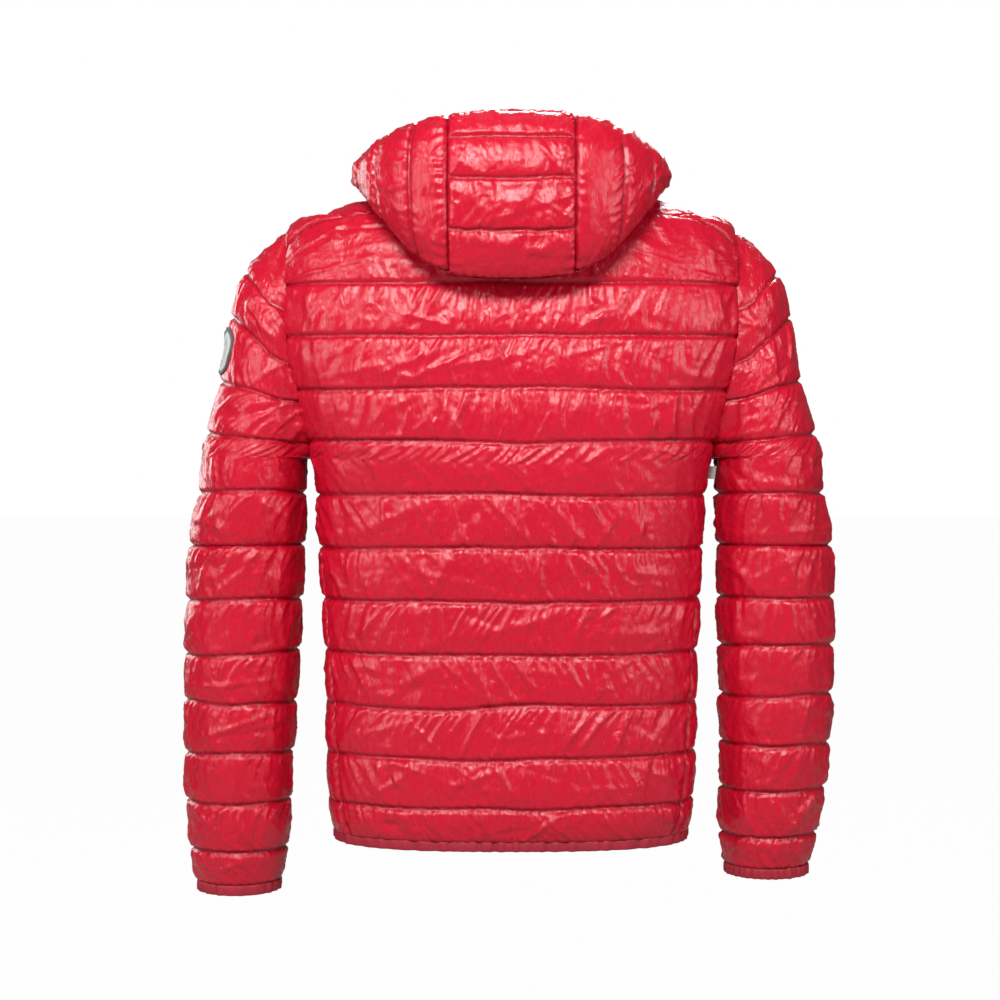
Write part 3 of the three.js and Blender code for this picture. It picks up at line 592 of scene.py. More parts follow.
# Stitch: lockstitches sunk along a seam, with the cloth pinched between them, and a ramp away from each seam line that
# paints shade into the seam's valley.
stitch, stitch_in, stitch_out = group(
    "lockstitch", [("Seam", "NodeSocketFloat", 10.0), ("Along", "NodeSocketFloat", 0.0)],
    [("Thread", "NodeSocketFloat"), ("Seam Shade", "NodeSocketFloat")])
stitches_a_metre = 360.0
stitch_run = maths(stitch, "MULTIPLY", stitch_in.outputs["Along"], stitches_a_metre)
dash = maths(stitch, "LESS_THAN", maths(stitch, "FRACT", stitch_run), 0.72)
on_line = maths(stitch, "LESS_THAN", stitch_in.outputs["Seam"], 0.42)
stitch.links.new(maths(stitch, "MULTIPLY", dash, on_line), stitch_out.inputs["Thread"])
# Painted shade ramp: 1 on the seam line, falling to 0 at 5 mm, used only to darken the cloth's colour into the seam's
# valley.
seam_shade_ramp = node(stitch, "ShaderNodeMapRange",
              {"Value": stitch_in.outputs["Seam"], "From Min": 0.0, "From Max": 5.0, "To Min": 1.0, "To Max": 0.0},
              interpolation_type="SMOOTHSTEP")
stitch.links.new(seam_shade_ramp.outputs[0], stitch_out.inputs["Seam Shade"])


def use(tree, group_tree, values):
    return node(tree, "ShaderNodeGroup", values, node_tree=group_tree)


def mix(tree, share, a, b):
    return node(tree, "ShaderNodeMix", {0: share, 6: a, 7: b}, data_type="RGBA").outputs[2]


def coloured(tree, shader, colour):
    tree.links.new(colour, shader.inputs["Base Color"])


def bumped(tree, shader, height, strength, distance):
    bump = node(tree, "ShaderNodeBump", {"Height": height, "Strength": strength, "Distance": distance})
    tree.links.new(bump.outputs[0], shader.inputs["Normal"])


def new_look(name, **values):
    made = bpy.data.materials.new(name)
    made.use_nodes = True
    shader = made.node_tree.nodes["Principled BSDF"]
    for key, value in values.items():
        shader.inputs[key.replace("_", " ")].default_value = value
    return made, made.node_tree, shader


shell_cloth, tree, shader = new_look("shell_cloth", Roughness=0.36)
shader.inputs["Specular IOR Level"].default_value = 0.5
place_in = node(tree, "ShaderNodeTexCoord")
seam_at = node(tree, "ShaderNodeAttribute", attribute_name="seam")
across_at = node(tree, "ShaderNodeAttribute", attribute_name="across")
cloth_uv = node(tree, "ShaderNodeUVMap", uv_map="cloth")
uv_split = node(tree, "ShaderNodeSeparateXYZ", {0: cloth_uv.outputs[0]})
along_seam = node(tree, "ShaderNodeMix",
                  {0: across_at.outputs["Fac"], 2: uv_split.outputs[0], 3: uv_split.outputs[1]})
creases = use(tree, crinkle, {"Vector": place_in.outputs["Object"], "Scale": 62.0})
threads = use(tree, weave, {"UV": cloth_uv.outputs[0]})
sewing = use(tree, stitch, {"Seam": seam_at.outputs["Fac"], "Along": along_seam.outputs[0]})
tone = node(tree, "ShaderNodeTexNoise", {"Vector": place_in.outputs["Object"], "Scale": 7.0, "Detail": 2.0})
red = mix(tree, tone.outputs["Fac"], (0.52, 0.003, 0.020, 1), (0.62, 0.006, 0.030, 1))
# Painted shade: the red darkened towards each seam, standing in for the shade in the seam's valley; the thread dashes
# next are the thread's own colour.
red = mix(tree, maths(tree, "MULTIPLY", sewing.outputs["Seam Shade"], 0.6), red, (0.32, 0.002, 0.014, 1))
red = mix(tree, maths(tree, "MULTIPLY", sewing.outputs["Thread"], 0.5), red, (0.40, 0.006, 0.03, 1))
coloured(tree, shader, red)
gloss = node(tree, "ShaderNodeMapRange", {"Value": creases.outputs["Mask"], "From Min": 0.3, "From Max": 0.7,
             "To Min": 0.22, "To Max": 0.31})
tree.links.new(gloss.outputs[0], shader.inputs["Roughness"])
height = maths(tree, "MULTIPLY_ADD", threads.outputs["Height"], 0.03, maths(
    tree, "MULTIPLY_ADD", sewing.outputs["Thread"], 0.25, creases.outputs["Height"]))
bumped(tree, shader, height, 0.5, 0.0012)

sides = [("left", 1), ("right", -1)]
foot_z = hem_z + 3.5


def rows_for(seams, turn_z):
    return [0] + [turn_share * (z - foot_z) / (turn_z - foot_z) for z in sorted(seams)] + [1]


def worn(name, nodes, body=None, blend=None):
    """Hangs a piece on the body it moves with, or for a piece given a blend bakes its place into its mesh, and hides
    the CAD nodes it stands for.
    """
    piece = bpy.data.objects[name]
    if blend:
        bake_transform(piece)
    else:
        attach(piece, body)
    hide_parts(*nodes)
    return piece


quilted("back_quilted", back, [0, 1], rows_for(back_seams, back_turn_z), foot_depth=-3)
for side, sign in sides:
    quilted(f"{side}_front_quilted", sided(front_left, sign), [0, 1], rows_for(front_seams, front_turn_z),
            foot_depth=-3, side_depth=(sign < 0, -2.2))
    side_top = armpit_z - 0.5
    side_seams = sorted(z for z in back_seams if z < side_top - 15)
    side_rows = [(z - foot_z) / (side_top - foot_z) for z in side_seams]
    quilted(f"{side}_side_quilted", sided(side_left, sign), [0, 1], [0] + side_rows + [1], foot_depth=-3,
            gather=(1.6, 3.0))
    quilted(f"{side}_yoke_quilted", sided(yoke_left, sign), [0, 1], [0, 0.32, 0.66, 1], droop=1, gather=(2.0, 2.6))
fill_panels()
worn("back_quilted", ["back_panel"], "torso")
for side, sign in sides:
    worn(f"{side}_front_quilted", [f"{side}_front_panel"], "torso")
    worn(f"{side}_side_quilted", [f"{side}_side_panel"], "torso")
    worn(f"{side}_yoke_quilted", [f"{side}_shoulder_yoke"], "torso")

# ---- Sleeves ----
# Set-in sleeves, quilted like the body, their seams tilting round the sleeve head and level below it.
# Each is one tube of cloth down to the elbow seam and one from there to the gathered wrist.
sleeve_head = [(9, 0.015, 0.03, 23), (46, 0.19, 0.38, 68), (61, 0.385, 0.62, 70), (72, 0.66, 0.77, 71),
               (86, 0.885, 0.945, 71)]
elbow_z, cuff_z, chest_side_x = -352.0, -714.0, 210.0
elbow_row, wrist_row = 7, 11


def sleeve(drift, shorter):
    wrist_z = cuff_z + shorter + 10
    rows = [[shoulder_z - 238 * outer, 231 + beyond, shoulder_z - 238 * inner, chest_side_x, half, armhole_mid_y]
            for beyond, outer, inner, half in sleeve_head]
    below = [(armpit_z - 6, 113, 142, 0, 0), (lerp(armpit_z, elbow_z, 0.45), 116, 142, 0.5, 0.05),
             (elbow_z, 123, 138, 2.5, 0.2), (lerp(elbow_z, wrist_z, 0.3), 124, 131.5, 7, 0.45),
             (lerp(elbow_z, wrist_z, 0.65), 116.6, 122.4, 14, 0.72), (lerp(elbow_z, wrist_z, 0.87), 108, 112, 17, 0.9),
             (wrist_z, 90, 94, 26, 1)]
    for z, width, depth, out, forward in below:
        inner_x = chest_side_x + out + drift * ((armpit_z - z) / 452) ** 2
        rows.append([z, inner_x + width, z, inner_x, depth / 2, armhole_mid_y - 24 * forward])
    rows = np.array(rows)

    def shape(turn, along):
        outer_z, outer_x, inner_z, inner_x, half_depth, mid_y = np.moveaxis(spline(rows, along), -1, 0)
        opened = inner_z > armpit_z
        row = row_at(inner_z)
        half = np.where(opened, np.minimum(side_half(inner_z), half_depth * 0.99), 0)
        end = math.pi - np.arcsin(half / half_depth)
        edge = np.where(opened, body(edge_angle(row, np.where(turn < 0, -1, 1)), row)[..., 0], inner_x)
        share = (1 - np.cos(turn * end)) / (1 - np.cos(end))
        return np.stack([lerp(outer_x, edge, share), mid_y + half_depth * np.sin(turn * end),
                         lerp(outer_z, inner_z, share)], -1)

    def upward(turn, back_along):
        return shape(turn, -back_along)

    def armhole(turn, along):
        """Where the body's own sewn edge lies, for the part of the sleeve that is set in it."""
        inner_z = spline(rows, along)[..., 2]
        row = row_at(np.maximum(inner_z, armpit_z))
        side = np.where(turn < 0, -1, 1)
        edge = edge_angle(row, side)
        torso, _ = out_of(body, edge, row, 0 * row - 6, -9, 99)
        own, _ = out_of(upward, turn, -along, 0 * row - 6, -99, 99)
        return np.where((inner_z > armpit_z)[..., None], torso, own)

    table = np.linspace(5, wrist_row, 601)
    heights = spline(rows, table)[:, 0]

    def row_of(z):
        return float(np.interp(-z, -heights, table))

    return shape, upward, row_of, wrist_z, armhole


def armhole_top(points):
    """The nearest points of the body's sewn edge round the top of the armhole."""
    y = points[..., 1]
    rise = np.sqrt(1 - np.clip((y - armhole_mid_y) / armhole_half_depth, -0.9, 0.9) ** 2)
    row = row_at(armhole_mid_z + armhole_half * rise)
    edge, _ = out_of(body, angle_at_y(row, y), row, 0 * row - 6, -9, 99)
    return edge * np.stack([np.sign(points[..., 0]), 1 + 0 * y, 1 + 0 * y], -1)


def tube(shape, start, end):
    def along(u, v):
        return shape(lerp(-1, 1, u), lerp(start, end, v))
    return along


arm_shapes = {}
lower_seams = [-409, -462, -515, -568, -618, -669]
for side, sign in sides:
    shape, upward, row_of, wrist_z, armhole = sleeve(*((4, 0) if sign > 0 else (-15, 17)))
    arm_shapes[side] = (shape, upward)
    upper_rows = [0] + [1 - row / elbow_row for row in (row_of(-299), 4, 3, 2, 1)] + [1]
    short = (wrist_z - elbow_z) / (-704 - elbow_z)
    lower_rows = [(wrist_row - row_of(elbow_z + (z - elbow_z) * short)) / (wrist_row - elbow_row)
                  for z in lower_seams]
    quilted(f"{side}_upper_sleeve_quilted", sided(tube(shape, elbow_row, 0), sign), [0, 1], upper_rows,
            side_reach=12, sewn_to=sided(tube(armhole, elbow_row, 0), sign), head_to=armhole_top)
    quilted(f"{side}_lower_sleeve_quilted", sided(tube(shape, wrist_row, elbow_row), sign), [0, 1],
            [0] + sorted(lower_rows) + [1], side_reach=12, foot_depth=-3)
fill_panels()


def shoulder_bend(sign):
    """From the armhole outwards and down, where the sleeve turns from the body's way to the arm's."""
    start = np.array([0.2225, -0.05, -0.24])
    way = np.array([1, 0, -0.5]) / math.hypot(1, 0.5)
    end = start + way * 0.052
    return [tuple(float(x) for x in point * (sign, 1, 1)) for point in (start, end)]


elbow_bend = [(0, 0, -0.379), (0, 0, -0.46)]
for side, sign in sides:
    arm, fore = f"{side}_upper_arm", f"{side}_forearm"
    worn(f"{side}_upper_sleeve_quilted", [f"{side}_upper_sleeve"],
         blend=("torso", arm, *shoulder_bend(sign)))
    worn(f"{side}_lower_sleeve_quilted", [f"{side}_lower_sleeve"],
         blend=(arm, fore, *elbow_bend))

# ---- Hood ----
# A three-piece hood lying on the back: a middle panel with level seams, side panels with upright curved
# ones, and a rolled edge. Its plain neck piece, in two halves, runs down inside it from the collar seam to
# the fold.
hood_section = np.array([  # half width, depth behind the neck's middle, squareness, down, up
    [87.5, 71.5, 2.1, 0, 0], [107.12, 110.38, 2.6, 0.18, 0], [124.28, 134.14, 2.9, 0.62, 0],
    [142, 153.58, 3, 1, 0], [158, 171.94, 3, 0.72, 0], [164.5, 179.5, 3, 0.22, 0], [164, 176.26, 3, 0, 0.42],
    [154, 163.3, 3, 0, 0.82], [139, 144.94, 3, 0, 1], [121, 125.5, 3, 0, 0.94],
])
fold_row, brim_row, hood_end = 3, 9, math.pi / 2


def hood(turn, along):
    half_width, depth, square, down, up = np.moveaxis(spline(hood_section, along), -1, 0)
    across = np.abs(np.sin(turn)) ** (2 / square)
    behind = np.abs(np.cos(turn)) ** (2 / square)
    neck_z = 20 - 16 * behind**2 + 1.5
    low, high = lerp(15, -90, behind**2.4), lerp(49, 81, behind**2.6)
    return np.stack([half_width * across * np.sign(turn), -6 + depth * behind,
                     neck_z + down * (low - neck_z) + up * (high - neck_z)], -1)


def centre_turn(along):
    half_width, _, square, _, _ = np.moveaxis(spline(hood_section, along), -1, 0)
    return np.arcsin((63 / half_width) ** (square / 2))


def hood_centre(u, v):
    along = lerp(fold_row + 0.02, brim_row, v)
    return hood(lerp(centre_turn(along), -centre_turn(along), u), along)


def hood_left(u, v):
    along = lerp(fold_row + 0.02, brim_row, v)
    return hood(lerp(hood_end, centre_turn(along), u), along)


def hood_neck_left(u, v):
    return hood(lerp(hood_end, 0, u), lerp(0, fold_row - 0.02, v))


def hood_rows(*rows):
    return [0] + [(row - fold_row) / (brim_row - fold_row) for row in rows] + [1]


quilted("hood_centre_quilted", hood_centre, [0, 1], hood_rows(4.45, 5.45, 6.4, 8), thick=9, gather=(2.2, 3.0),
        step=3.2, wander=0.8)
for side, sign in sides:
    quilted(f"hood_{side}_quilted", sided(hood_left, sign), [0, 0.27, 0.53, 0.8, 1], hood_rows(8), thick=9, droop=1,
            gather=(1.8, 3.2), side_reach=18, step=3.2, ease=(1.05, 1.05, 1.05), wander=0)
    quilted(f"hood_neck_{side}_quilted", sided(hood_neck_left, sign), [0, 1], [0, 1], thick=4, seam_depth=-2,
            crown=-0.5, foot_depth=-2, head_depth=-2, gather=(0.8, 0.8), creased=0.6, cap=1.5)
fill_panels()
worn("hood_centre_quilted", ["hood_centre_panel"], "hood")
for side, sign in sides:
    worn(f"hood_{side}_quilted", [f"hood_{side}_panel"], "hood")
    neck_bend = [tuple(placed(np.array([0.5 * sign, 0.5, -0.7]) * reach).tolist()) for reach in (43.5, 57.5)]
    worn(f"hood_neck_{side}_quilted", ["hood_neck_panel"], blend=("torso", "hood", *neck_bend))

# ---- Collar ----
# A padded stand collar sewn to the neck seam, with one seam along its middle, leaning in to the neck.
collar_height, collar_lean = 56, 0.16


def collar_ring(angle, height):
    foot = body(angle, neck_row)
    _, _, _, mid_y, half_depth = ring_at(neck_row)
    lean = 1 - collar_lean * height / 86
    x, y, z = foot[..., 0] * lean, mid_y + (foot[..., 1] - mid_y) * lean, foot[..., 2] + height
    front_share = smooth(-np.sin(angle), 0.3, 1)
    return np.stack([x, y + front_share * (zip_y(z) - (mid_y - half_depth * lean)), z], -1)


def collar(u, v):
    edge = front_angle_at_x(neck_row, placket_half + collar_lean * 8)
    return collar_ring(lerp(edge, math.pi - edge, u), lerp(-4, collar_height - 3, v))


quilted("collar_quilted", collar, [0, 1], [0, 0.5, 1], thick=7, seam_depth=-3.5, crown=0, foot_depth=-5,
        head_depth=-3.5, gather=(0.9, 1.0), cap=2.5, droop=1, wander=0.3, creased=0.5)
fill_panels()
worn("collar_quilted", ["stand_collar"], "torso")

# ---- Elastic binding ----
# Flat knitted elastic folded over the raw edges of the hem and the cuffs and topstitched, a little
# puckered where it draws the cloth in.
binding_cloth, tree, shader = new_look("binding_cloth", Roughness=0.62)
place_in = node(tree, "ShaderNodeTexCoord")
cloth_uv = node(tree, "ShaderNodeUVMap", uv_map="cloth")
uv_split = node(tree, "ShaderNodeSeparateXYZ", {0: cloth_uv.outputs[0]})
rib = maths(tree, "SINE", maths(tree, "MULTIPLY", uv_split.outputs[0], 2 * math.pi / 0.0011))
tone = node(tree, "ShaderNodeTexNoise", {"Vector": place_in.outputs["Object"], "Scale": 90.0, "Detail": 3.0})
coloured(tree, shader, mix(tree, tone.outputs["Fac"], (0.30, 0.006, 0.020, 1), (0.44, 0.012, 0.034, 1)))
bumped(tree, shader, maths(tree, "MULTIPLY_ADD", rib, 0.3, tone.outputs["Fac"]), 0.45, 0.0006)


def skin(name, points, faces, lengths, look):
    """A smooth mesh piece from points in metres, with its cloth lengths as UVs."""
    mesh = bpy.data.meshes.new(name)
    mesh.from_pydata(points.reshape(-1, 3).tolist(), [], faces)
    corner = np.empty(len(mesh.loops), np.int32)
    mesh.loops.foreach_get("vertex_index", corner)
    uv = mesh.uv_layers.new(name="cloth")
    uv.data.foreach_set("uv", lengths.reshape(-1, 2)[corner].astype(np.float32).ravel())
    mesh.polygons.foreach_set("use_smooth", np.ones(len(mesh.polygons), bool))
    mesh.materials.append(look)
    piece = bpy.data.objects.new(name, mesh)
    scene.collection.objects.link(piece)
    return piece


def banded(name, surface, count, closed, height=10, depth=-3.2, half=1.9):
    """A flattened tube of elastic round an edge."""
    round_count = 16
    around = np.linspace(0, 2 * math.pi, round_count + 1)[:-1]
    side, face = np.cos(around), np.sin(around)
    v = 0.5 + 0.5 * np.sign(side) * np.abs(side) ** 0.6
    out = depth + half * np.sign(face) * np.abs(face) ** 0.6
    u_lines = np.linspace(0, 1, count + 1)[: count + (not closed)]
    u, v = np.meshgrid(u_lines, v, indexing="ij")
    rng = np.random.default_rng(zlib.crc32(name.encode()))
    ripple = sum(rng.normal(0, 0.28) * np.sin(2 * math.pi * (waves * u_lines + rng.uniform()))
                 for waves in rng.integers(count // 12, count // 4, 14))
    points, _ = out_of(surface, u, v, out[None, :] + ripple[:, None])
    rings_made = len(u_lines)
    quads = []
    for i in range(rings_made if closed else rings_made - 1):
        a, b = i * round_count, (i + 1) % rings_made * round_count
        for j in range(round_count):
            after = (j + 1) % round_count
            quads.append([a + j, b + j, b + after, a + after])
    if not closed:
        last = (rings_made - 1) * round_count
        quads += [list(range(round_count)), list(range(last, last + round_count))[::-1]]
    run = np.concatenate([[0], np.cumsum(np.linalg.norm(np.diff(points[:, 0], axis=0), axis=-1))]) / 1000
    lengths = np.stack([run[:, None] + 0 * u, around[None, :] / 2 / math.pi * 0.02 + 0 * u], -1)
    piece = skin(name, placed(points), quads, lengths, binding_cloth)
    made = bmesh.new()
    made.from_mesh(piece.data)
    bmesh.ops.recalc_face_normals(made, faces=made.faces)
    made.to_mesh(piece.data)
    made.free()
    return piece


def hem_edge(u, v):
    start = front_angle_at_x(0, placket_half)
    point = body(lerp(start, math.pi - start, u), 0 * u)
    return point + np.stack([0 * u, 0 * u, lerp(-5, 5.5, v)], -1)


def cuff_edge(shape):
    def edge(u, v):
        return shape(lerp(-1, 1, u), 0 * u + wrist_row) - np.stack([0 * u, 0 * u, lerp(10, -1, v)], -1)
    return edge


banded("hem_elastic", hem_edge, 420, False)
worn("hem_elastic", ["hem_binding"], "torso")
for side, sign in sides:
    banded(f"{side}_cuff_elastic", sided(cuff_edge(arm_shapes[side][0]), sign), 150, True)
    worn(f"{side}_cuff_elastic", [f"{side}_cuff_binding"], f"{side}_forearm")

# ---- Lining ----
# Thin plain dark taffeta inside the body, the collar, the sleeves and the hood, hanging just inside the
# fill, and the two flat pocket bags sewn of the same cloth.
lining_cloth, tree, shader = new_look("lining_cloth", Roughness=0.5)
place_in = node(tree, "ShaderNodeTexCoord")
cloth_uv = node(tree, "ShaderNodeUVMap", uv_map="cloth")
creases = use(tree, crinkle, {"Vector": place_in.outputs["Object"], "Scale": 34.0})
threads = use(tree, weave, {"UV": cloth_uv.outputs[0], "Threads": 2200.0})
coloured(tree, shader, mix(tree, creases.outputs["Mask"], (0.012, 0.013, 0.017, 1), (0.032, 0.034, 0.042, 1)))
bumped(tree, shader, maths(tree, "MULTIPLY_ADD", threads.outputs["Height"], 0.06, creases.outputs["Height"]),
       0.5, 0.0016)


def two_sided(name, surface, nu, nv, outer, inner, look, sway=0.0):
    """A thin sheet of cloth with both faces and its edges."""
    u, v = np.meshgrid(np.linspace(0, 1, nu + 1), np.linspace(0, 1, nv + 1), indexing="ij")
    rng = np.random.default_rng(zlib.crc32(name.encode()))
    wave = sum(rng.normal(0, sway) * np.sin(2 * math.pi * (a * u + b * v + rng.uniform()))
               for a, b in rng.uniform(1, 9, (10, 2)))
    wave = np.minimum(0, wave * np.sin(math.pi * u) * np.sin(math.pi * v)) if sway else 0 * u
    front, _ = out_of(surface, u, v, outer + wave)
    rear, _ = out_of(surface, u, v, inner + wave)
    count = u.size
    index = np.arange(count).reshape(u.shape)
    rim = np.concatenate([index[:, 0], index[-1, 1:], index[-2::-1, -1], index[0, -2:0:-1]])
    after = np.roll(rim, -1)
    faces = grid_faces(*u.shape, 0, False).tolist() + grid_faces(*u.shape, count, True).tolist()
    faces += np.stack([rim + count, after + count, after, rim], -1).tolist()
    run_u = np.cumsum(np.pad(np.linalg.norm(np.diff(front, axis=0), axis=-1), ((1, 0), (0, 0))), 0)
    run_v = np.cumsum(np.pad(np.linalg.norm(np.diff(front, axis=1), axis=-1), ((0, 0), (1, 0))), 1)
    lengths = np.stack([run_u, run_v], -1) / 1000
    return skin(name, placed(np.stack([front, rear])), faces, np.stack([lengths, lengths]), look)


lining_depth = (-10.6, -11.4)
two_sided("back_lining_cloth", back, 80, 70, *lining_depth, lining_cloth, 0.5)
worn("back_lining_cloth", ["back_lining"], "torso")
two_sided("collar_lining_cloth", collar, 80, 8, -7.6, -8.4, lining_cloth)
worn("collar_lining_cloth", ["collar_lining"], "torso")
for side, sign in sides:
    shape = arm_shapes[side][0]
    arm, fore = f"{side}_upper_arm", f"{side}_forearm"
    two_sided(f"{side}_front_lining_cloth", sided(front_left, sign), 50, 70, *lining_depth, lining_cloth, 0.5)
    worn(f"{side}_front_lining_cloth", [f"{side}_front_lining"], "torso")
    two_sided(f"{side}_upper_lining_cloth", sided(tube(shape, elbow_row, 0), sign), 60, 44, *lining_depth,
              lining_cloth)
    worn(f"{side}_upper_lining_cloth", [f"{side}_upper_sleeve_lining"],
         blend=("torso", arm, *shoulder_bend(sign)))
    two_sided(f"{side}_lower_lining_cloth", sided(tube(shape, wrist_row, elbow_row), sign), 60, 50, *lining_depth,
              lining_cloth)
    worn(f"{side}_lower_lining_cloth", [f"{side}_lower_sleeve_lining"],
         blend=(arm, fore, *elbow_bend))


def hood_inside(u, v):
    return hood(lerp(hood_end, -hood_end, u), lerp(fold_row + 0.06, brim_row, v))


two_sided("hood_lining_cloth", hood_inside, 110, 60, -11, -11.8, lining_cloth)
worn("hood_lining_cloth", ["hood_lining"], "hood")

pocket_x, pocket_foot, pocket_length = 128, hem_z + 95, 150


def pocket_bag(u, v):
    row = row_at(pocket_foot - 30 + v * (pocket_length + 20))
    return body(front_angle_at_x(row, pocket_x - 110 * (1 - u) + 10), row)


for side, sign in sides:
    two_sided(f"{side}_pocket_cloth", sided(pocket_bag, sign), 24, 30, -14.2, -15.7, lining_cloth)
    worn(f"{side}_pocket_cloth", [f"{side}_pocket_bag"], "torso")

# ---- Loop and labels ----
# A soft taped loop to hang the jacket by, a blank woven label under it, and a small folded label in the
# right side seam.
loop_tape, tree, shader = new_look("loop_tape", Roughness=0.75)
cloth_uv = node(tree, "ShaderNodeUVMap", uv_map="cloth")
threads = use(tree, weave, {"UV": cloth_uv.outputs[0], "Threads": 900.0})
coloured(tree, shader, mix(tree, threads.outputs["Height"], (0.02, 0.02, 0.025, 1), (0.05, 0.05, 0.06, 1)))
bumped(tree, shader, threads.outputs["Height"], 0.5, 0.0004)
label_cloth, tree, shader = new_look("label_cloth", Roughness=0.6)
cloth_uv = node(tree, "ShaderNodeUVMap", uv_map="cloth")
threads = use(tree, weave, {"UV": cloth_uv.outputs[0], "Threads": 1500.0})
coloured(tree, shader, mix(tree, threads.outputs["Height"], (0.62, 0.62, 0.60, 1), (0.80, 0.80, 0.78, 1)))
bumped(tree, shader, threads.outputs["Height"], 0.4, 0.0003)
loop_half, loop_inner = 17, -9.0


def hang_loop(u, v):
    radius = loop_half - 5 * (1 - v)
    turn = math.pi * (1 - u)
    return collar_ring(math.pi / 2 + radius * np.cos(turn) / 64, 9 + radius * np.sin(turn))


def neck_patch(u, v):
    return body(math.pi / 2 + lerp(-1, 1, u) * 24 / 124, row_at(-44 + lerp(-0.5, 0.5, v) * 22))


def side_tab(u, v):
    row = row_at(armpit_z - 9 - (1 - v) * 13)
    seam = body(angle_at_y(row, armhole_mid_y + 19), row)
    return seam + np.stack([lerp(-4, 6, u), 3 * u, 0 * u], -1)


two_sided("hang_loop_tape", hang_loop, 48, 5, loop_inner, loop_inner - 1.2, loop_tape)
worn("hang_loop_tape", ["hanger_loop"], "torso")
two_sided("neck_label_cloth", neck_patch, 20, 10, -13.4, -14.4, label_cloth)
worn("neck_label_cloth", ["neck_label"], "torso")
two_sided("side_label_cloth", sided(side_tab, -1), 8, 8, 0.4, -0.4, label_cloth)
worn("side_label_cloth", ["side_label"], "torso")

# ---- Badge ----
# A round woven patch with an overlocked rim, sewn flat on the puff at the outside of the left sleeve. Its
# face carries plain stitched rings.
badge_cloth, tree, shader = new_look("badge_cloth", Roughness=0.8)
cloth_uv = node(tree, "ShaderNodeUVMap", uv_map="cloth")
uv_split = node(tree, "ShaderNodeSeparateXYZ", {0: cloth_uv.outputs[0]})
radius_at, turn_at = uv_split.outputs[0], uv_split.outputs[1]
rows_on = maths(tree, "SINE", maths(tree, "MULTIPLY", radius_at, 2 * math.pi / 0.0009))
ring_mask = maths(tree, "LESS_THAN", maths(tree, "PINGPONG", radius_at, 0.0055), 0.0011)
face_colour = mix(tree, ring_mask, (0.72, 0.72, 0.70, 1), (0.30, 0.31, 0.34, 1))
rim_mask = maths(tree, "GREATER_THAN", radius_at, 0.0222)
whip = maths(tree, "SINE", maths(tree, "MULTIPLY", turn_at, 150.0))
rim_colour = mix(tree, whip, (0.10, 0.105, 0.12, 1), (0.20, 0.205, 0.23, 1))
coloured(tree, shader, mix(tree, rim_mask, face_colour, rim_colour))
relief = node(tree, "ShaderNodeMix", {0: rim_mask, 2: rows_on, 3: whip})
bumped(tree, shader, relief.outputs[0], 0.6, 0.0004)

sleeve_piece = bpy.data.objects["left_upper_sleeve_quilted"]
sleeve_tree = BVHTree.FromPolygons([v.co[:] for v in sleeve_piece.data.vertices],
                                   [p.vertices[:] for p in sleeve_piece.data.polygons])
badge_row, badge_turn = 2.55, 0.13
middle, outward = out_of(arm_shapes["left"][1], np.array(badge_turn), np.array(-badge_row), np.array(0.0), -99,
                         99)
middle, outward = Vector(placed(middle)), Vector(outward)
side_way = outward.cross(Vector((0, 0, 1))).normalized()
up_way = side_way.cross(outward).normalized()
radii = np.concatenate([np.linspace(0, 0.0215, 18), [0.0225, 0.0232, 0.0242, 0.025, 0.0252, 0.025]])
lifts = np.concatenate([np.full(18, 1.1), [1.35, 1.9, 2.0, 1.5, 0.8, -0.4]]) / 1000
turns = np.linspace(0, 2 * math.pi, 73)[:-1]
points, lengths = [], []
for radius, lift in zip(radii, lifts):
    for turn in turns:
        flat_at = middle + side_way * (radius * math.cos(turn)) + up_way * (radius * math.sin(turn))
        hit, _, _, _ = sleeve_tree.ray_cast(flat_at + outward * 0.03, -outward)
        depth = (hit - flat_at).dot(outward) if hit else 0.0
        points.append((flat_at, depth, lift))
        lengths.append((radius, turn))
depths = np.array([depth for _, depth, _ in points]).reshape(len(radii), -1)
for _ in range(6):
    ring = (np.roll(depths, 1, 1) + depths + np.roll(depths, -1, 1)) / 3
    rounded = (ring[:-2] + ring[1:-1] + ring[2:]) / 3
    depths = np.maximum(depths, np.concatenate([ring[:1], rounded, ring[-1:]]))
points = np.array([at + outward * (d + lift) for (at, _, lift), d in zip(points, depths.ravel())])
count = len(turns)
faces = [[i * count + j, (i + 1) * count + j, (i + 1) * count + (j + 1) % count, i * count + (j + 1) % count]
         for i in range(len(radii) - 1) for j in range(count)]
badge = skin("sleeve_badge_patch", points, faces, np.array(lengths), badge_cloth)
made = bmesh.new()
made.from_mesh(badge.data)
bmesh.ops.remove_doubles(made, verts=made.verts, dist=1e-6)
bmesh.ops.contextual_create(made, geom=[e for e in made.edges if e.is_boundary])
bmesh.ops.recalc_face_normals(made, faces=made.faces)
made.to_mesh(badge.data)
made.free()
worn("sleeve_badge_patch", ["sleeve_badge"],
     blend=("torso", "left_upper_arm", *shoulder_bend(1)))

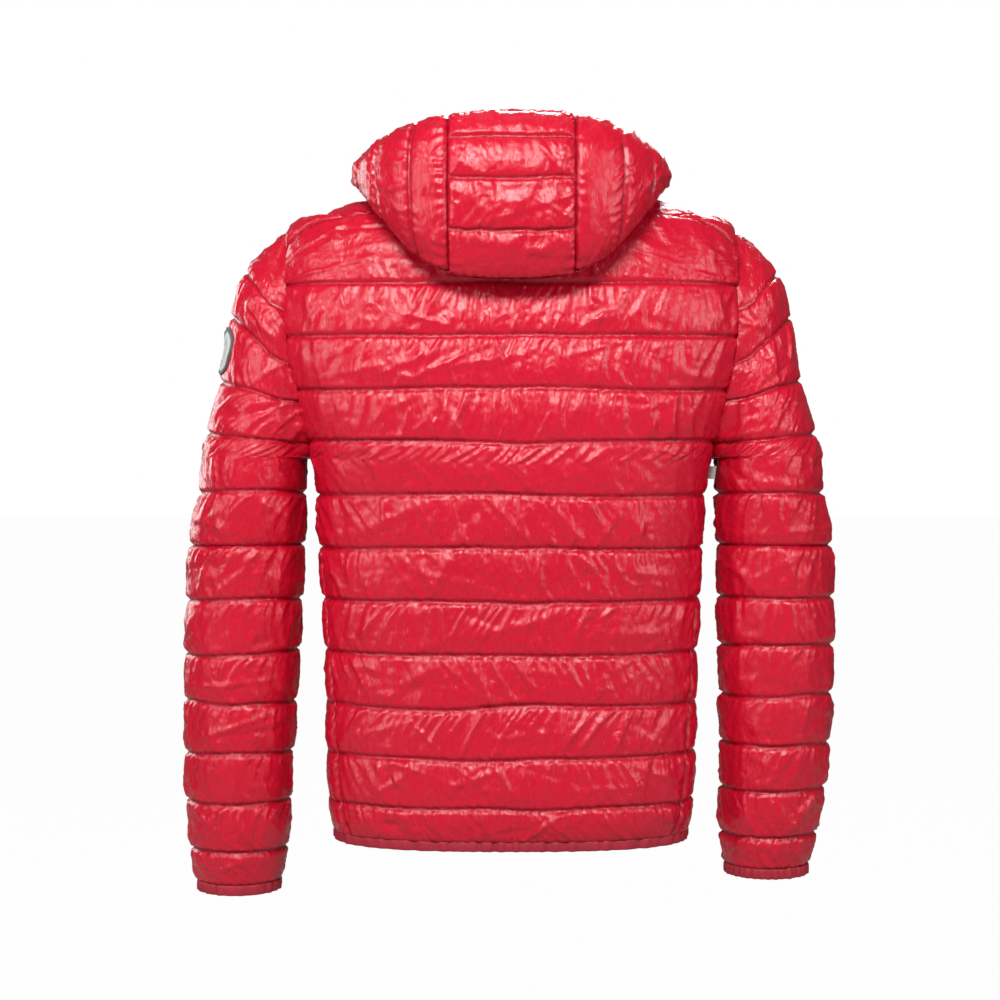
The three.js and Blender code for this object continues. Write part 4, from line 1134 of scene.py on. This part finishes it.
# ---- Zips ----
# Moulded tooth zips on woven tape: one up the front and one in each pocket. Each has a box at the foot, a
# stop at the head, and a plated slider with a hinged puller.
zip_tape, tree, shader = new_look("zip_tape", Roughness=0.72)
place_in = node(tree, "ShaderNodeTexCoord")
twill = node(tree, "ShaderNodeTexWave",
             {"Vector": place_in.outputs["Object"], "Scale": 260.0, "Distortion": 0.4},
             bands_direction="DIAGONAL")
coloured(tree, shader, mix(tree, twill.outputs["Fac"], (0.20, 0.004, 0.012, 1), (0.30, 0.008, 0.022, 1)))
bumped(tree, shader, twill.outputs["Fac"], 0.5, 0.0003)
zip_teeth, tree, shader = new_look("zip_teeth", Roughness=0.34)
place_in = node(tree, "ShaderNodeTexCoord")
tone = node(tree, "ShaderNodeTexNoise", {"Vector": place_in.outputs["Object"], "Scale": 400.0, "Detail": 2.0})
coloured(tree, shader, mix(tree, tone.outputs["Fac"], (0.22, 0.004, 0.014, 1), (0.28, 0.008, 0.022, 1)))
bumped(tree, shader, tone.outputs["Fac"], 0.2, 0.0002)
zip_metal, tree, shader = new_look("zip_metal", Metallic=1.0)
place_in = node(tree, "ShaderNodeTexCoord")
polish = node(tree, "ShaderNodeTexNoise", {"Vector": place_in.outputs["Object"], "Scale": 700.0, "Detail": 4.0})
coloured(tree, shader, mix(tree, polish.outputs["Fac"], (0.30, 0.31, 0.33, 1), (0.46, 0.47, 0.50, 1)))
rough = node(tree, "ShaderNodeMapRange", {"Value": polish.outputs["Fac"], "To Min": 0.18, "To Max": 0.42})
tree.links.new(rough.outputs[0], shader.inputs["Roughness"])


def laid(position, tilt, turn):
    """The place of a zip that was made upright at the origin: tilted about X, then turned about Z."""
    to_place = Matrix.Translation(Vector(placed(np.array(position))))
    return to_place @ Matrix.Rotation(turn, 4, "Z") @ Matrix.Rotation(tilt, 4, "X")


def tooth_row(name, sign, foot, length, place, pitch=2.9):
    """One moulded tooth, repeated up the chain; the two sides stand half a pitch apart and interlock."""
    bpy.ops.object.select_all(action="DESELECT")
    bpy.ops.mesh.primitive_cube_add(size=1)
    piece = bpy.context.object
    piece.name = name
    start = foot + pitch * (0.25 if sign > 0 else 0.75)
    for vertex in piece.data.vertices:
        x, y, z = vertex.co
        narrow = 0.8 if x < 0 else 1.0
        vertex.co = Vector((sign * (1.0 + x * 3.8), y * 2.4 * narrow, start + z * 1.25)) / 1000
    made = bmesh.new()
    made.from_mesh(piece.data)
    bmesh.ops.bevel(made, geom=made.edges[:], offset=0.00028, segments=1, affect="EDGES")
    bmesh.ops.recalc_face_normals(made, faces=made.faces)
    made.to_mesh(piece.data)
    made.free()
    repeat = piece.modifiers.new("chain", "ARRAY")
    repeat.use_relative_offset = False
    repeat.use_constant_offset = True
    repeat.constant_offset_displace = (0, 0, pitch / 1000)
    repeat.count = int((length - 1.5) / pitch)
    bpy.ops.object.modifier_apply(modifier="chain")
    made = bmesh.new()
    made.from_mesh(piece.data)
    for vertex in bmesh.ops.create_cube(made, size=1)["verts"]:  # the cord that the teeth are moulded on
        x, y, z = vertex.co
        vertex.co = Vector((sign * (2.4 + x * 2.4), y * 0.7 + 0.3, 0.8 + (z + 0.5) * (foot + length - 0.8))) / 1000
    bmesh.ops.recalc_face_normals(made, faces=made.faces)
    made.to_mesh(piece.data)
    made.free()
    piece.data.transform(place)
    piece.data.materials.append(zip_teeth)
    return piece


def softened(name, cad_node, bevel, look, body_name):
    """A CAD metal or plastic part with its hard edges rounded."""
    piece = bpy.data.objects.new(name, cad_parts[cad_node].data.copy())
    scene.collection.objects.link(piece)
    made = bmesh.new()
    made.from_mesh(piece.data)
    bmesh.ops.remove_doubles(made, verts=made.verts, dist=1e-6)
    bmesh.ops.dissolve_limit(made, angle_limit=0.02, verts=made.verts, edges=made.edges)
    made.to_mesh(piece.data)
    made.free()
    piece.data.materials.clear()
    piece.data.materials.append(look)
    bpy.ops.object.select_all(action="DESELECT")
    bpy.context.view_layer.objects.active = piece
    piece.select_set(True)
    edge = piece.modifiers.new("edge", "BEVEL")
    edge.width, edge.segments, edge.limit_method = bevel, 2, "ANGLE"
    edge.angle_limit = math.radians(40)
    bpy.ops.object.modifier_apply(modifier="edge")
    bpy.ops.object.shade_smooth_by_angle(angle=math.radians(35))
    return worn(name, [cad_node], body_name)


box_height, stop_height = 10.3, 3.6
zips = {"front": (laid((0, -112, hem_z), -math.atan2(34, collar_top_z - hem_z), 0),
                  math.hypot(collar_top_z - hem_z, 34) - 1)}
base_row, top_row = row_at(pocket_foot), row_at(pocket_foot + pocket_length)
base_angle = front_angle_at_x(base_row, pocket_x)
base_at = body(base_angle, base_row)
top_at = body(front_angle_at_x(top_row, pocket_x), top_row)
run = body(base_angle + 0.02, base_row) - body(base_angle - 0.02, base_row)
pocket_turn = math.atan2(run[1], run[0])
pocket_lift = 2.1  # the tapes lie on the panel
for side, sign in sides:
    at = (sign * (base_at[0] + pocket_lift * math.sin(pocket_turn)),
          base_at[1] - pocket_lift * math.cos(pocket_turn), base_at[2])
    tilt = -math.atan2(top_at[1] - base_at[1], pocket_length)
    zips[f"{side}_pocket"] = (laid(at, tilt, sign * pocket_turn), pocket_length)
for name, (place, length) in zips.items():
    for side, sign in sides:
        tooth_row(f"{name}_{side}_teeth", sign, box_height, length - box_height - stop_height, place)
        worn(f"{name}_{side}_teeth", [f"{name}_{side}_zip_teeth"], "torso")
        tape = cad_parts[f"{name}_{side}_zip_tape"]
        tape.data.materials[0] = zip_tape
    softened(f"{name}_zip_box_moulded", f"{name}_zip_box", 0.0004, zip_teeth, "torso")
    softened(f"{name}_zip_stop_moulded", f"{name}_zip_top_stop", 0.0004, zip_teeth, "torso")
    softened(f"{name}_slider_plated", f"{name}_zip_slider", 0.00035, zip_metal, f"{name}_zip_slider")
    softened(f"{name}_puller_plated", f"{name}_zip_puller", 0.00025, zip_metal, f"{name}_zip_puller")
